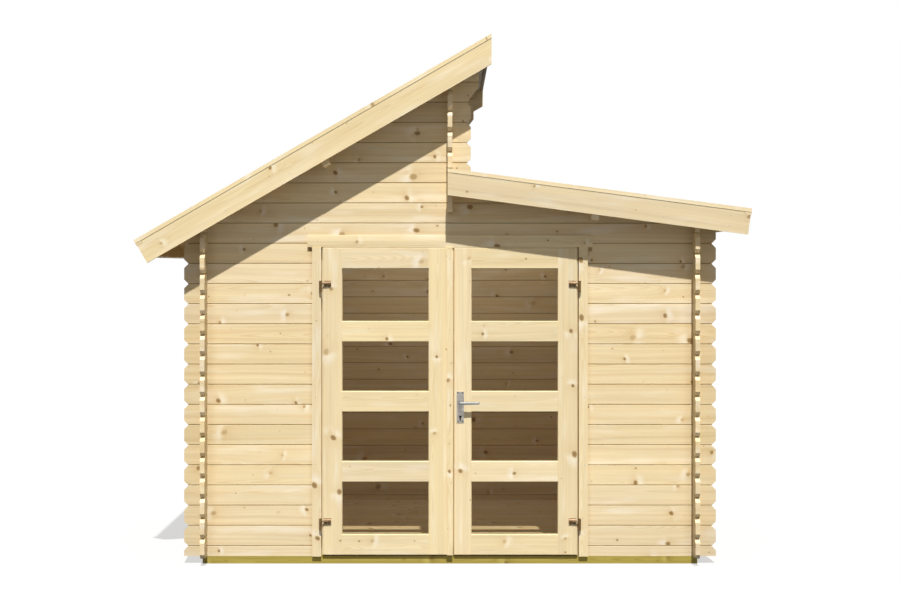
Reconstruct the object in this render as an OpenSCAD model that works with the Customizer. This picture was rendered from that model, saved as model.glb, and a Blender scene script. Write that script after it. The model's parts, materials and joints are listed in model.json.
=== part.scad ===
// Split-level log garden house: interlocking log walls, a steep roof and a low roof
// that meet at a step wall, and a glazed double door in the front.
// Millimetres.  Origin on the ground under the middle of the walls, front towards -Y, +Z up.

/* [House] */
// Width over the side walls
wall_w = 2970; // [2600:10:3400]
// Depth over the front and back walls
wall_d = 2130; // [1700:10:2900]
// Thickness of a wall log
log_t = 28; // [28:1:34]
// Height that one log adds to a wall
log_h = 121; // [110:1:135]
// How far log ends run past the crossing wall
log_out = 111; // [80:1:140]
// How far the top log runs past the other log ends, under the high edge of the roof
top_log_out = 48; // [0:1:80]
// Full logs in a side wall
side_logs = 17; // [16:1:19]
// Size of the cut across the corners of a log end
end_cut = 26; // [0:1:30]
// Depth of the groove between two logs
groove = 4; // [2:0.5:6]
// Height of the bevel along a log's bottom edge, over the groove
groove_over = 5.5; // [2:0.5:8]
// Height of the bevel along a log's top edge, under the groove
groove_under = 1.5; // [0.5:0.5:6]
// Play round a log in its notch
notch_gap = 0.5; // [0.2:0.1:1]
// Size of the square notch in the logs beside each top corner of the door frame
frame_notch_size = 25; // [15:1:35]

/* [Base and floor] */
// Width of the treated beams under the walls
beam_w = 60; // [45:1:70]
// Height of the treated beams
beam_h = 45; // [35:1:60]
// Treated beams between the front one and the back one
cross_beams = 5; // [3:1:8]
// Thickness of the floor boards
floor_t = 28; // [16:1:28]
// Cover width of a floor board
floor_board_w = 96; // [80:1:140]
// Gap between the floor and the walls
floor_gap = 2; // [1:0.5:10]

/* [Roof] */
// Slope of the high roof, in degrees
upper_pitch = 30; // [27:1:34]
// Slope of the low roof, in degrees
lower_pitch = 7.5; // [5:0.5:12]
// Height of the roof boards above the logs, at the inner face of a side wall
plate_rise = 26; // [24:1:40]
// Thickness of the roof boards
deck_t = 16; // [14:1:24]
// Cover width of a roof board
deck_board_w = 94; // [80:1:140]
// Thickness of the roofing felt
felt_t = 2; // [1:0.5:4]
// How far the roof boards run past the front and back walls
verge_out = 152; // [100:1:250]
// How far the high roof runs past the left wall, on the level
upper_eave_out = 359; // [150:1:450]
// How far the low roof runs past the right wall, on the level
lower_eave_out = 288; // [150:1:400]
// Distance from the step wall's middle to the high edge of the roof
high_out = 245; // [200:1:350]
// Height of a barge board, square to the slope
barge_h = 132; // [110:1:160]
// Thickness of barge boards, eave boards and the high edge board
trim_t = 18; // [15:1:22]
// Height of an eave board
eave_board_h = 95; // [70:1:120]
// How far the high edge board hangs below the roof boards
high_board_drop = 6; // [0:1:40]
// Width of the strip that holds the felt down along the verge
strip_w = 40; // [30:1:60]
// Thickness of that strip
strip_t = 22; // [15:1:28]
// Width of the lath along an eave, under the felt
lath_w = 38; // [25:1:60]
// How far the eave lath runs past the eave board
lath_out = 4; // [2:1:20]
// Joint between an eave lath and a barge board
lath_play = 1.5; // [0.5:0.5:3]
// Thickness of a purlin
purlin_w = 45; // [35:1:60]
// Height of a purlin
purlin_h = 145; // [110:1:150]
// Distance from the step wall's middle to the high purlin, on the level
upper_purlin_x = 800; // [500:1:1000]
// Distance from the step wall's middle to the low purlin, on the level
lower_purlin_x = 877; // [500:1:1000]

/* [Door] */
// Full logs beside the doorway
door_logs = 15; // [14:1:15]
// Clear width between the door jambs
doorway_w = 1544; // [1300:1:1700]
// Width of a jamb in the front face
jamb_w = 54; // [45:1:70]
// Depth of the jamb, front to back
jamb_d = 64; // [56:1:80]
// How far the jamb stands in front of the wall
jamb_proud = 18; // [14:1:30]
// How far the stops reach behind the leaves
stop_w = 20; // [12:1:30]
// Thickness of a door leaf
leaf_t = 40; // [36:1:45]
// How far a leaf's face lies behind the face of the jambs
leaf_recess = 2; // [1:1:6]
// Running gap between a leaf and its jamb
leaf_gap = 6; // [5:0.5:8]
// Running gap over a leaf and behind it
stop_gap = 5; // [5:0.5:8]
// Height of a leaf's bottom edge over the ground beams
threshold_gap = 9; // [6:1:15]
// Running gap between the two leaves, at their front faces
meeting_gap = 5.4; // [5.4:0.1:9]
// How much wider that gap is at the back, where the edges swing past each other
edge_slant = 2.2; // [2:0.1:4]
// Width of a hinge stile
stile_w = 119.5; // [90:0.5:140]
// Width of a meeting stile that shows beside the meeting strip
lock_stile_w = 107; // [90:1:140]
// Height of a rail
rail_h = 123; // [90:1:140]
// Extra height of the top and bottom panes over the middle ones
outer_pane_extra = 18; // [0:1:40]
// Width of the meeting strip
meeting_strip_w = 35; // [25:1:50]
// Thickness of the meeting strip
meeting_strip_t = 10; // [6:1:16]
// How far the meeting strip stands left of the middle
meeting_strip_off = 1.5; // [0:0.5:5]
// Bevel along the upright front edges of a leaf
leaf_bevel = 7; // [1:1:10]
// Bevel along the top and bottom front edges of a leaf
leaf_end_bevel = 3; // [1:0.5:10]
// Bevel round the front of a pane
pane_bevel = 3; // [1:0.5:6]
// Depth of the V joint between a stile and its rails
joint_depth = 1; // [0.5:0.1:2]
// Distance from a leaf's face to the glass
glass_in = 14; // [10:1:18]
// Thickness of the glass
glass_t = 4; // [3:1:6]
// How far the glass runs into its rebate
glass_lap = 10; // [6:1:14]
// Height of the sill above the floor
sill_rise = 6; // [0:1:15]
// Depth of the sill, front to back
sill_d = 31; // [25:1:60]
// How far the door head hangs below the logs over the doorway
head_drop = 22; // [18:1:40]
// Height of the casing over the leaves
casing_h = 72; // [60:1:110]
// How far the casing runs past the jambs
casing_over = 29; // [0:1:60]
// Radius of the casing's rounded face
casing_r = 280; // [150:10:600]
// How far the casing's bottom edge lies behind the face of the jambs
casing_in = 3.5; // [0:0.5:8]
// Bevel along the casing's top edge
casing_bevel = 1.5; // [0.5:0.5:6]

/* [Hinges and handle] */
// Diameter of a hinge barrel
barrel_d = 18; // [14:1:22]
// Height of a whole hinge
barrel_h = 70; // [50:1:90]
// Diameter of a hinge pin
pin_d = 8; // [6:1:10]
// Clearance round a hinge pin
pin_gap = 0.3; // [0.2:0.1:0.5]
// Height of the lower hinges above the leaf's bottom edge
lower_hinge_rise = 150; // [120:1:300]
// Distance of the upper hinges below the leaf's top edge
upper_hinge_drop = 196; // [120:1:300]
// Height of the handle's axis above the leaf's bottom edge
handle_rise = 912; // [800:1:1100]
// Distance of the handle's axis from the leaf's meeting edge
handle_in = 40.6; // [35:0.2:60]
// Length of the lever
lever_l = 115; // [90:1:140]
// Diameter of the lever at the spindle
lever_d = 20; // [16:1:22]
// Diameter of the lever's tip
lever_tip_d = 14; // [10:1:16]
// Distance from the leaf's face to the middle of the lever
lever_out = 40; // [30:1:50]

/* [Hidden] */
$fn = 48;

WOOD = "#f0dcb0";
WOOD_LIGHT = "#f4e2b8";
GREEN_WOOD = "#bfa856";
METAL = "#aeb4bc";
BRONZE = "#5b4630";
GLASS = "#a8b8b4";
FELT = "#3b3b3d";

big = 4 * max(wall_w, wall_d);
eps = 0.01;

// Faces of the walls
side_out = wall_w / 2;
side_in = side_out - log_t;
front_out = wall_d / 2;
front_in = front_out - log_t;
log_end_x = side_out + log_out;
log_end_y = front_out + log_out;

// Courses: side and step walls start with a whole log, front and back walls with a half one
half_log = log_h / 2;
side_top = beam_h + side_logs * log_h;
function side_seam(i) = beam_h + i * log_h;
function front_seam(i) = beam_h + half_log + i * log_h;

// Roof undersides, over the inner faces of the side walls and over the middle of the step wall
roof_low_z = side_top + plate_rise;
upper_z0 = roof_low_z + side_in * tan(upper_pitch);
lower_z0 = roof_low_z + side_in * tan(lower_pitch);
function upper_z(x) = upper_z0 + x * tan(upper_pitch);
function lower_z(x) = lower_z0 - x * tan(lower_pitch);
cover_t = deck_t + felt_t;

// Hairline between the planed log tops and the roof boards that lie on them
seat_gap = 0.05;

// Ends of the roofs, measured along the slope from the middle of the step wall
upper_low_u = -(side_out + upper_eave_out) / cos(upper_pitch);
lower_low_u = (side_out + lower_eave_out) / cos(lower_pitch);
deck_y = front_out + verge_out;
barge_y = deck_y + trim_t;
roof_play = 0.5;

// Doorway: the walls stop in the grooves of the jambs
door_top = front_seam(door_logs);
wall_stop_x = doorway_w / 2 + jamb_w / 2 - 1;
jamb_front_y = -front_out - jamb_proud;
jamb_back_y = jamb_front_y + jamb_d;
head_z = door_top - head_drop;
floor_top = beam_h + floor_t;
sill_top = floor_top + sill_rise;

// Leaves
leaf_front_y = jamb_front_y + leaf_recess;
leaf_back_y = leaf_front_y + leaf_t;
stop_y = leaf_back_y + stop_gap;
leaf_bottom = beam_h + threshold_gap;
leaf_top = head_z - stop_gap;
leaf_h = leaf_top - leaf_bottom;
leaf_side_x = doorway_w / 2 - leaf_gap;
left_edge_x = meeting_strip_w / 2 - meeting_strip_off;
right_edge_x = left_edge_x + meeting_gap;
pane_out_x = leaf_side_x - stile_w;
pane_in_x = right_edge_x + lock_stile_w;
pane_rows = 4;
middle_pane_h = (leaf_h - (pane_rows + 1) * rail_h - 2 * outer_pane_extra) / pane_rows;
function pane_h(r) = middle_pane_h + ((r == 0 || r == pane_rows - 1) ? outer_pane_extra : 0);
function pane_z(r) = r == 0 ? leaf_bottom + rail_h : pane_z(r - 1) + pane_h(r - 1) + rail_h;

// Hinges and handle: the barrels stand clear of the jambs, just beside the doorway
hinge_out = 3;
barrel_gap = 1;
hinge_x = doorway_w / 2 + hinge_out;
hinge_y = jamb_front_y - barrel_d / 2 - barrel_gap;
hinge_zs = [leaf_bottom + lower_hinge_rise, leaf_top - upper_hinge_drop - barrel_h];
handle_x = right_edge_x + handle_in;
handle_z = leaf_bottom + handle_rise;

// ---------- Helpers ----------

// Extrudes an outline drawn in X and Z along Y, between two Y values
module along_y(y0, y1) {
    translate([0, y1, 0])
        rotate([90, 0, 0])
            linear_extrude(height = y1 - y0)
                children();
}

// Extrudes an outline drawn in Y and Z along X, between two X values
module along_x(x0, x1) {
    translate([x0, 0, 0])
        rotate([90, 0, 90])
            linear_extrude(height = x1 - x0)
                children();
}

// A box between two corners
module span(a, b) {
    translate(a)
        cube(b - a);
}

// A rectangle between two corners
module area(a, b) {
    translate(a)
        square(b - a);
}

// Children in the frame of the high roof: X up the slope, Z square to it
module on_upper_roof() {
    translate([0, 0, upper_z0])
        rotate([0, -upper_pitch, 0])
            children();
}

// Children in the frame of the low roof: X down the slope, Z square to it
module on_lower_roof() {
    translate([0, 0, lower_z0])
        rotate([0, lower_pitch, 0])
            children();
}

// The same two frames for outlines in X and Z
module on_upper_slope() {
    translate([0, upper_z0])
        rotate(upper_pitch)
            children();
}

module on_lower_slope() {
    translate([0, lower_z0])
        rotate(-lower_pitch)
            children();
}

// Everything under the roof boards, in the frame of their slope
module under_boards() {
    translate([0, -seat_gap])
        area([-big, -big], [big, 0]);
}

// Both halves, front and back
module front_and_back() {
    children();
    mirror([0, 1, 0])
        children();
}

function on_seam(z, seams) = len([for (s = seams) if (abs(s - z) < eps) s]) > 0;

// One face of a stack of logs from the bottom up: how deep each point lies, and its height
function log_face(z0, z1, seams) = concat(
    on_seam(z0, seams) ? [[groove, z0], [0, z0 + groove_over]] : [[0, z0]],
    [for (s = seams) if (s > z0 + groove_over && s < z1 - groove_over)
        each [[0, s - groove_under], [groove, s], [0, s + groove_over]]],
    on_seam(z1, seams) ? [[0, z1 - groove_under], [groove, z1]] : [[0, z1]]
);

// Cross-section of a stack of logs between two heights, with a groove at each seam
module log_section(face_a, face_b, z0, z1, seams) {
    points = log_face(z0, z1, seams);
    polygon(concat(
        [for (p = points) [face_a + p[0], p[1]]],
        [for (k = [len(points) - 1 : -1 : 0]) [face_b - points[k][0], points[k][1]]]
    ));
}

// Cuts the corners of the log ends at one side of a wall
module end_cuts(end_x, seams) {
    side = sign(end_x);
    for (s = seams)
        polygon([[end_x + side, s - end_cut - 1], [end_x - side * end_cut, s],
                 [end_x + side, s + end_cut + 1]]);
}

// Windows for the half-lapped logs of a crossing wall: first_z is the middle of the first one
module crossing_windows(centre, first_z, count) {
    for (i = [0 : count - 1])
        area([centre - log_t / 2 - notch_gap, first_z + i * log_h - half_log / 2 - notch_gap],
             [centre + log_t / 2 + notch_gap, first_z + i * log_h + half_log / 2 + notch_gap]);
}

// ---------- Front and back walls ----------

courses = ceil((upper_z(high_out) - beam_h) / log_h);
top_cut_angle = 52;
top_seam = front_seam(floor((upper_z(log_t / 2 + log_out) - beam_h - half_log) / log_h) - 2);
front_seams = [for (i = [0 : courses]) front_seam(i)];
side_seams = [for (i = [0 : courses]) side_seam(i)];

// Top of the felt on the low roof, where the log ends above it start
function stub_z(x) = lower_z(x) + cover_t / cos(lower_pitch) + roof_play;

// Outline under the roofs; above the low roof only the log ends past the step wall are left.
// The top log runs out further, with a slanting cut from the seam below it.
module gable_area() {
    step_x = log_t / 2;
    stub_x = step_x + log_out;
    top_x = stub_x + top_log_out;
    cut_x = stub_x - end_cut;
    polygon([
        [-log_end_x, beam_h], [log_end_x, beam_h], [log_end_x, lower_z(log_end_x) - seat_gap],
        [step_x, lower_z(step_x) - seat_gap], [step_x, stub_z(step_x)], [stub_x, stub_z(stub_x)],
        [stub_x, top_seam], [cut_x, top_seam], [top_x, top_seam + (top_x - cut_x) * tan(top_cut_angle)],
        [top_x, upper_z(top_x) - seat_gap], [-log_end_x, upper_z(-log_end_x) - seat_gap]
    ]);
}

module gable_outline() {
    difference() {
        gable_area();
        end_cuts(-log_end_x, front_seams);
        end_cuts(log_end_x, front_seams);
        end_cuts(log_t / 2 + log_out,
                 [for (s = front_seams) if (s > lower_z(0) + end_cut && s <= top_seam) s]);
        for (side = [-1, 1])
            crossing_windows(side * (side_in + side_out) / 2, beam_h + half_log, side_logs);
        crossing_windows(0, side_seam(side_logs) + half_log, courses - side_logs);
        on_upper_slope()
            purlin_outline(-upper_purlin_x / cos(upper_pitch), notch_gap);
        on_lower_slope()
            purlin_outline(lower_purlin_x / cos(lower_pitch), notch_gap);
    }
}

module purlin_outline(u, gap) {
    area([u - purlin_w / 2 - gap, -purlin_h - gap], [u + purlin_w / 2 + gap, gap]);
}

// One node's part of the front or back wall: the outline inside a region, with the log section
module gable_wall(y0, y1, z0, z1) {
    intersection() {
        along_y(y0, y1)
            intersection() {
                gable_outline();
                children();
            }
        along_x(-big / 2, big / 2)
            log_section(y0, y1, z0, z1, front_seams);
    }
}

gable_split = front_seam(side_logs + 1);

module lower_region() {
    area([-big / 2, beam_h], [big / 2, door_top]);
}

module top_region() {
    area([-big / 2, door_top], [big / 2, gable_split]);
    area([log_t / 2, door_top], [big / 2, lower_z(log_t / 2) + eps]);
}

module gable_region() {
    area([-big / 2, gable_split], [log_t / 2, big]);
    area([0, stub_z(log_t / 2 + log_out) - eps], [big / 2, big]);
}

module front_wall_left() {
    color(WOOD)
        difference() {
            gable_wall(-front_out, -front_in, beam_h, door_top)
                area([-big / 2, beam_h], [-wall_stop_x, door_top]);
            frame_notch(-1);
        }
}

module front_wall_right() {
    color(WOOD)
        difference() {
            gable_wall(-front_out, -front_in, beam_h, door_top)
                area([wall_stop_x, beam_h], [big / 2, door_top]);
            frame_notch(1);
        }
}

// Square notch beside the top of the door frame, most of the way through the wall
module frame_notch(side) {
    skin = 8;
    x = side * (doorway_w / 2 + jamb_w);
    span([min(x, x + side * frame_notch_size), -front_out - 1, head_z - frame_notch_size],
         [max(x, x + side * frame_notch_size), -front_in - skin, head_z]);
}

module front_wall_top() {
    color(WOOD)
        gable_wall(-front_out, -front_in, door_top, lower_z(0) + eps)
            top_region();
}

module front_gable() {
    color(WOOD)
        gable_wall(-front_out, -front_in, gable_split, big)
            gable_region();
}

module back_wall() {
    color(WOOD)
        gable_wall(front_in, front_out, beam_h, door_top)
            lower_region();
}

module back_wall_top() {
    color(WOOD)
        gable_wall(front_in, front_out, door_top, lower_z(0) + eps)
            top_region();
}

module back_gable() {
    color(WOOD)
        gable_wall(front_in, front_out, gable_split, big)
            gable_region();
}

// ---------- Side walls and step wall ----------

module cross_wall_outline(z0, z1, first_window, windows) {
    difference() {
        area([-log_end_y, z0], [log_end_y, z1]);
        end_cuts(-log_end_y, side_seams);
        end_cuts(log_end_y, side_seams);
        for (side = [-1, 1])
            crossing_windows(side * (front_in + front_out) / 2, first_window, windows);
    }
}

module left_wall() {
    color(WOOD)
        side_wall(-1)
            on_upper_slope()
                under_boards();
}

module right_wall() {
    color(WOOD)
        side_wall(1)
            on_lower_slope()
                under_boards();
}

// A side wall whose top log is planed to the slope of the roof; children give that slope
module side_wall(side) {
    x0 = side > 0 ? side_in : -side_out;
    intersection() {
        along_x(x0, x0 + log_t)
            cross_wall_outline(beam_h, side_top + log_h, beam_h, side_logs + 1);
        along_y(-log_end_y - eps, log_end_y + eps)
            intersection() {
                log_section(x0, x0 + log_t, beam_h, side_top + log_h,
                            [for (i = [1 : side_logs - 1]) side_seam(i)]);
                children();
            }
    }
}

module step_wall() {
    color(WOOD)
        intersection() {
            along_x(-log_t / 2, log_t / 2)
                cross_wall_outline(side_top, upper_z(log_t), side_top, courses - side_logs + 1);
            along_y(-log_end_y - eps, log_end_y + eps)
                intersection() {
                    log_section(-log_t / 2, log_t / 2, side_top, upper_z(log_t), side_seams);
                    on_upper_slope()
                        under_boards();
                }
        }
}

// ---------- Base and floor ----------

module base_beam_front() {
    color(GREEN_WOOD)
        span([-side_out, -front_out, 0], [side_out, -front_out + beam_w, beam_h]);
}

module base_beam_back() {
    color(GREEN_WOOD)
        span([-side_out, front_out - beam_w, 0], [side_out, front_out, beam_h]);
}

module base_cross_beams() {
    pitch = (wall_w - beam_w) / (cross_beams - 1);
    color(GREEN_WOOD)
        for (i = [0 : cross_beams - 1])
            translate([-side_out + i * pitch, 0, 0])
                span([0, -front_out + beam_w, 0], [beam_w, front_out - beam_w, beam_h]);
}

// Boards that run from side to side, with a groove where two meet
module floor() {
    floor_y = front_in - floor_gap;
    boards = floor((2 * floor_y) / floor_board_w);
    joint = 2;
    joints = [for (i = [1 : boards]) -floor_y + i * floor_board_w];
    color(WOOD_LIGHT)
        difference() {
            along_x(-side_in + floor_gap, side_in - floor_gap)
                difference() {
                    area([-floor_y, beam_h], [floor_y, floor_top]);
                    for (y = joints)
                        polygon([[y - joint, floor_top + eps], [y + joint, floor_top + eps],
                                 [y, floor_top - joint]]);
                }
            span([-doorway_w / 2 - jamb_w, -front_in - eps, beam_h - 1],
                 [doorway_w / 2 + jamb_w, -front_out + beam_w + 1, floor_top + 1]);
        }
}

// ---------- Roofs ----------

module upper_purlin() {
    color(WOOD)
        along_y(-deck_y, deck_y)
            on_upper_slope()
                purlin_outline(-upper_purlin_x / cos(upper_pitch), 0);
}

module lower_purlin() {
    color(WOOD)
        along_y(-deck_y, deck_y)
            on_lower_slope()
                purlin_outline(lower_purlin_x / cos(lower_pitch), 0);
}

// Cross-section of the roof boards: they run up the slope, with a groove under each joint
module deck_section() {
    joint = 3;
    boards = floor(deck_y / deck_board_w);
    difference() {
        area([-deck_y, 0], [deck_y, deck_t]);
        for (i = [-boards : boards])
            translate([i * deck_board_w, 0])
                polygon([[-joint, -eps], [joint, -eps], [0, joint]]);
    }
}

// Everything on the low side of the upright high edge
module before_high_edge(x) {
    span([-big, -big, 0], [x, big, big]);
}

// Everything on the right of the step wall
module past_step_wall(x) {
    span([x, -big, 0], [big, big, big]);
}

module upper_roof_deck() {
    color(WOOD_LIGHT)
        intersection() {
            on_upper_roof()
                along_x(upper_low_u + lath_w - lath_out, big / 4)
                    deck_section();
            before_high_edge(high_out - trim_t);
        }
}

module lower_roof_deck() {
    color(WOOD_LIGHT)
        intersection() {
            on_lower_roof()
                along_x(-log_h, lower_low_u - lath_w + lath_out)
                    deck_section();
            past_step_wall(log_t / 2 + roof_play);
        }
}

module upper_roof_felt() {
    color(FELT)
        intersection() {
            on_upper_roof()
                span([upper_low_u - lath_out, -barge_y, deck_t], [big / 4, barge_y, cover_t]);
            before_high_edge(high_out);
        }
}

module lower_roof_felt() {
    color(FELT)
        intersection() {
            on_lower_roof()
                span([-log_h, -barge_y, deck_t], [lower_low_u + lath_out, barge_y, cover_t]);
            past_step_wall(log_t / 2 + roof_play);
        }
}

// Outline of a barge board on its slope, with the notch for the eave lath at its low end
module barge_outline(u0, u1, low_end) {
    inward = low_end == u0 ? 1 : -1;
    notch_u = low_end + inward * (lath_w - lath_out + lath_play);
    difference() {
        area([u0, deck_t - barge_h], [u1, deck_t]);
        area([min(low_end, notch_u) - (inward > 0 ? 1 : 0), -notch_gap],
             [max(low_end, notch_u) + (inward > 0 ? 0 : 1), deck_t + 1]);
    }
}

module upper_barge() {
    color(WOOD_LIGHT)
        along_y(-barge_y, -deck_y)
            intersection() {
                on_upper_slope()
                    barge_outline(upper_low_u, big / 4, upper_low_u);
                area([-big, 0], [high_out, big]);
            }
}

module lower_barge() {
    color(WOOD_LIGHT)
        along_y(-barge_y, -deck_y)
            intersection() {
                on_lower_slope()
                    barge_outline(-log_h, lower_low_u, lower_low_u);
                area([-log_t / 2, 0], [big, big]);
            }
}

module upper_barge_front() {
    upper_barge();
}

module upper_barge_back() {
    mirror([0, 1, 0])
        upper_barge();
}

module lower_barge_front() {
    lower_barge();
}

module lower_barge_back() {
    mirror([0, 1, 0])
        lower_barge();
}

module upper_verge_strips() {
    color(WOOD_LIGHT)
        intersection() {
            on_upper_roof()
                front_and_back()
                    span([upper_low_u - lath_out, -barge_y, cover_t],
                         [big / 4, strip_w - barge_y, cover_t + strip_t]);
            before_high_edge(high_out);
        }
}

module lower_verge_strips() {
    color(WOOD_LIGHT)
        intersection() {
            on_lower_roof()
                front_and_back()
                    span([-log_h, -barge_y, cover_t],
                         [lower_low_u + lath_out, strip_w - barge_y, cover_t + strip_t]);
            past_step_wall(-log_t / 2);
        }
}

module upper_eave_board() {
    color(WOOD_LIGHT)
        on_upper_roof()
            span([upper_low_u, -deck_y, deck_t - eave_board_h], [upper_low_u + trim_t, deck_y, 0]);
}

module lower_eave_board() {
    color(WOOD_LIGHT)
        on_lower_roof()
            span([lower_low_u - trim_t, -deck_y, deck_t - eave_board_h], [lower_low_u, deck_y, 0]);
}

module upper_eave_lath() {
    color(WOOD_LIGHT)
        on_upper_roof()
            span([upper_low_u - lath_out, -barge_y, 0],
                 [upper_low_u - lath_out + lath_w, barge_y, deck_t]);
}

module lower_eave_lath() {
    color(WOOD_LIGHT)
        on_lower_roof()
            span([lower_low_u + lath_out - lath_w, -barge_y, 0],
                 [lower_low_u + lath_out, barge_y, deck_t]);
}

// Board that closes the ends of the roof boards along the high edge
module high_edge_board() {
    inner_x = high_out - trim_t;
    color(WOOD_LIGHT)
        along_y(-deck_y, deck_y)
            intersection() {
                area([inner_x, upper_z(inner_x) - high_board_drop], [high_out, big]);
                on_upper_slope()
                    area([0, -big], [big, deck_t]);
            }
}

// ---------- Door frame ----------

// Plan of a jamb: a post with a groove for the wall logs and a stop behind the leaf
module jamb_plan() {
    x0 = doorway_w / 2;
    play = notch_gap;
    difference() {
        area([x0, jamb_front_y], [x0 + jamb_w, jamb_back_y]);
        area([wall_stop_x - play, -front_out - play], [x0 + jamb_w + 1, -front_in + play]);
    }
    area([x0 - stop_w, stop_y], [x0 + eps, jamb_back_y]);
}

module door_jamb_right() {
    color(WOOD_LIGHT)
        translate([0, 0, beam_h])
            linear_extrude(height = head_z - beam_h)
                jamb_plan();
}

module door_jamb_left() {
    mirror([1, 0, 0])
        door_jamb_right();
}

// Head: a board over the leaves with its stop, and a lip up the inside of the logs
module door_head() {
    half_in = doorway_w / 2 + jamb_w;
    half_gap = wall_stop_x - notch_gap;
    color(WOOD_LIGHT) {
        span([-half_gap, -front_out, head_z], [half_gap, -front_in + eps, door_top]);
        span([-half_in, -front_in, head_z], [half_in, jamb_back_y, door_top + head_drop]);
        span([-doorway_w / 2 + stop_w, stop_y, head_z - stop_w],
             [doorway_w / 2 - stop_w, jamb_back_y, head_z + eps]);
    }
}

// Casing in front of the head and the logs, with a gently rounded face and a bevelled top
module door_head_casing() {
    half = doorway_w / 2 + jamb_w + casing_over;
    bulge = casing_r - sqrt(casing_r * casing_r - casing_h * casing_h / 4);
    face_y = jamb_front_y + casing_in - bulge;
    top = head_z + casing_h;
    color(WOOD_LIGHT)
        along_x(-half, half)
            intersection() {
                polygon([[-front_out, head_z], [face_y, head_z], [face_y, top - casing_bevel - bulge],
                         [face_y + casing_bevel + bulge, top], [-front_out, top]]);
                translate([face_y + casing_r, head_z + casing_h / 2])
                    circle(r = casing_r, $fn = 240);
            }
}

module door_sill() {
    half = doorway_w / 2 - stop_w - notch_gap;
    color(WOOD)
        span([-half, stop_y, beam_h], [half, stop_y + sill_d, sill_top]);
}

// ---------- Leaves ----------

// Plan of a leaf from its hinge edge to its meeting edge: the front edges are bevelled, and the
// meeting edge slants back so that it swings clear
module leaf_plan(hinge_edge, meeting_edge) {
    way = sign(meeting_edge - hinge_edge);
    polygon([
        [hinge_edge, leaf_back_y], [hinge_edge, leaf_front_y + leaf_bevel],
        [hinge_edge + way * leaf_bevel, leaf_front_y], [meeting_edge - way * leaf_bevel, leaf_front_y],
        [meeting_edge, leaf_front_y + leaf_bevel], [meeting_edge - way * edge_slant, leaf_back_y]
    ]);
}

// Side view of a leaf, bevelled at the top and the bottom
module leaf_profile() {
    polygon([
        [leaf_back_y, leaf_bottom], [leaf_front_y + leaf_end_bevel, leaf_bottom],
        [leaf_front_y, leaf_bottom + leaf_end_bevel], [leaf_front_y, leaf_top - leaf_end_bevel],
        [leaf_front_y + leaf_end_bevel, leaf_top], [leaf_back_y, leaf_top]
    ]);
}

// Bevel round the front of an opening between two values, as an outline from the face inwards;
// it is drawn with the depth along X or, turned, along Y
module bevel_section(v0, v1) {
    polygon([[leaf_front_y - 1, v0 - pane_bevel - 1], [leaf_front_y + pane_bevel, v0],
             [leaf_front_y + pane_bevel, v1], [leaf_front_y - 1, v1 + pane_bevel + 1]]);
}

// Bevelled mouth of a pane, with mitred corners
module pane_mouth(x0, x1, z0, z1) {
    intersection() {
        along_x(x0 - 2 * pane_bevel - 2, x1 + 2 * pane_bevel + 2)
            bevel_section(z0, z1);
        translate([0, 0, z0 - 2 * pane_bevel - 2])
            linear_extrude(height = z1 - z0 + 4 * pane_bevel + 4)
                mirror([1, -1])
                    bevel_section(x0, x1);
    }
}

// V joints down the front, where the stiles meet the rails
module stile_joints(xs) {
    translate([0, 0, leaf_bottom - 1])
        linear_extrude(height = leaf_h + 2)
            for (x = xs)
                polygon([[x - joint_depth, leaf_front_y - eps], [x, leaf_front_y + joint_depth],
                         [x + joint_depth, leaf_front_y - eps]]);
}

glass_front_y = leaf_front_y + glass_in;

// A leaf of stiles and rails; panes lie between two X values, in rebates open to the inside.
// Children are cut out of it.
module leaf_frame(hinge_edge, meeting_edge, pane_x0, pane_x1) {
    difference() {
        intersection() {
            translate([0, 0, leaf_bottom])
                linear_extrude(height = leaf_h)
                    leaf_plan(hinge_edge, meeting_edge);
            along_x(min(hinge_edge, meeting_edge) - 1, max(hinge_edge, meeting_edge) + 1)
                leaf_profile();
        }
        children();
        stile_joints([pane_x0 - pane_bevel, pane_x1 + pane_bevel]);
        for (r = [0 : pane_rows - 1]) {
            pane_mouth(pane_x0, pane_x1, pane_z(r), pane_z(r) + pane_h(r));
            span([pane_x0, leaf_front_y - 1, pane_z(r)],
                 [pane_x1, leaf_back_y + 1, pane_z(r) + pane_h(r)]);
            span([pane_x0 - glass_lap, glass_front_y, pane_z(r) - glass_lap],
                 [pane_x1 + glass_lap, leaf_back_y + 1, pane_z(r) + pane_h(r) + glass_lap]);
        }
    }
}

module leaf_glass(pane_x0, pane_x1) {
    in = glass_lap - notch_gap;
    color(GLASS, 0.5)
        for (r = [0 : pane_rows - 1])
            span([pane_x0 - in, glass_front_y, pane_z(r) - in],
                 [pane_x1 + in, glass_front_y + glass_t, pane_z(r) + pane_h(r) + in]);
}

// Frames of beading that hold the panes from the inside
module leaf_beads(pane_x0, pane_x1) {
    in = glass_lap - notch_gap;
    sight = 2;
    y0 = glass_front_y + glass_t;
    color(WOOD_LIGHT)
        for (r = [0 : pane_rows - 1])
            difference() {
                span([pane_x0 - in, y0, pane_z(r) - in],
                     [pane_x1 + in, leaf_back_y, pane_z(r) + pane_h(r) + in]);
                span([pane_x0 + sight, y0 - 1, pane_z(r) + sight],
                     [pane_x1 - sight, leaf_back_y + 1, pane_z(r) + pane_h(r) - sight]);
            }
}

module left_leaf_frame() {
    color(WOOD_LIGHT)
        leaf_frame(-leaf_side_x, left_edge_x, -pane_out_x, -pane_in_x);
}

module right_leaf_frame() {
    color(WOOD_LIGHT)
        leaf_frame(leaf_side_x, right_edge_x, pane_in_x, pane_out_x) {
            translate([handle_x, leaf_front_y - 1, handle_z])
                rotate([-90, 0, 0])
                    cylinder(d = spindle_d + 2 * spindle_gap, h = leaf_t + 2);
            along_y(leaf_front_y - 1, leaf_back_y + 1)
                translate([handle_x, handle_z])
                    keyhole(0);
        }
}

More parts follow.
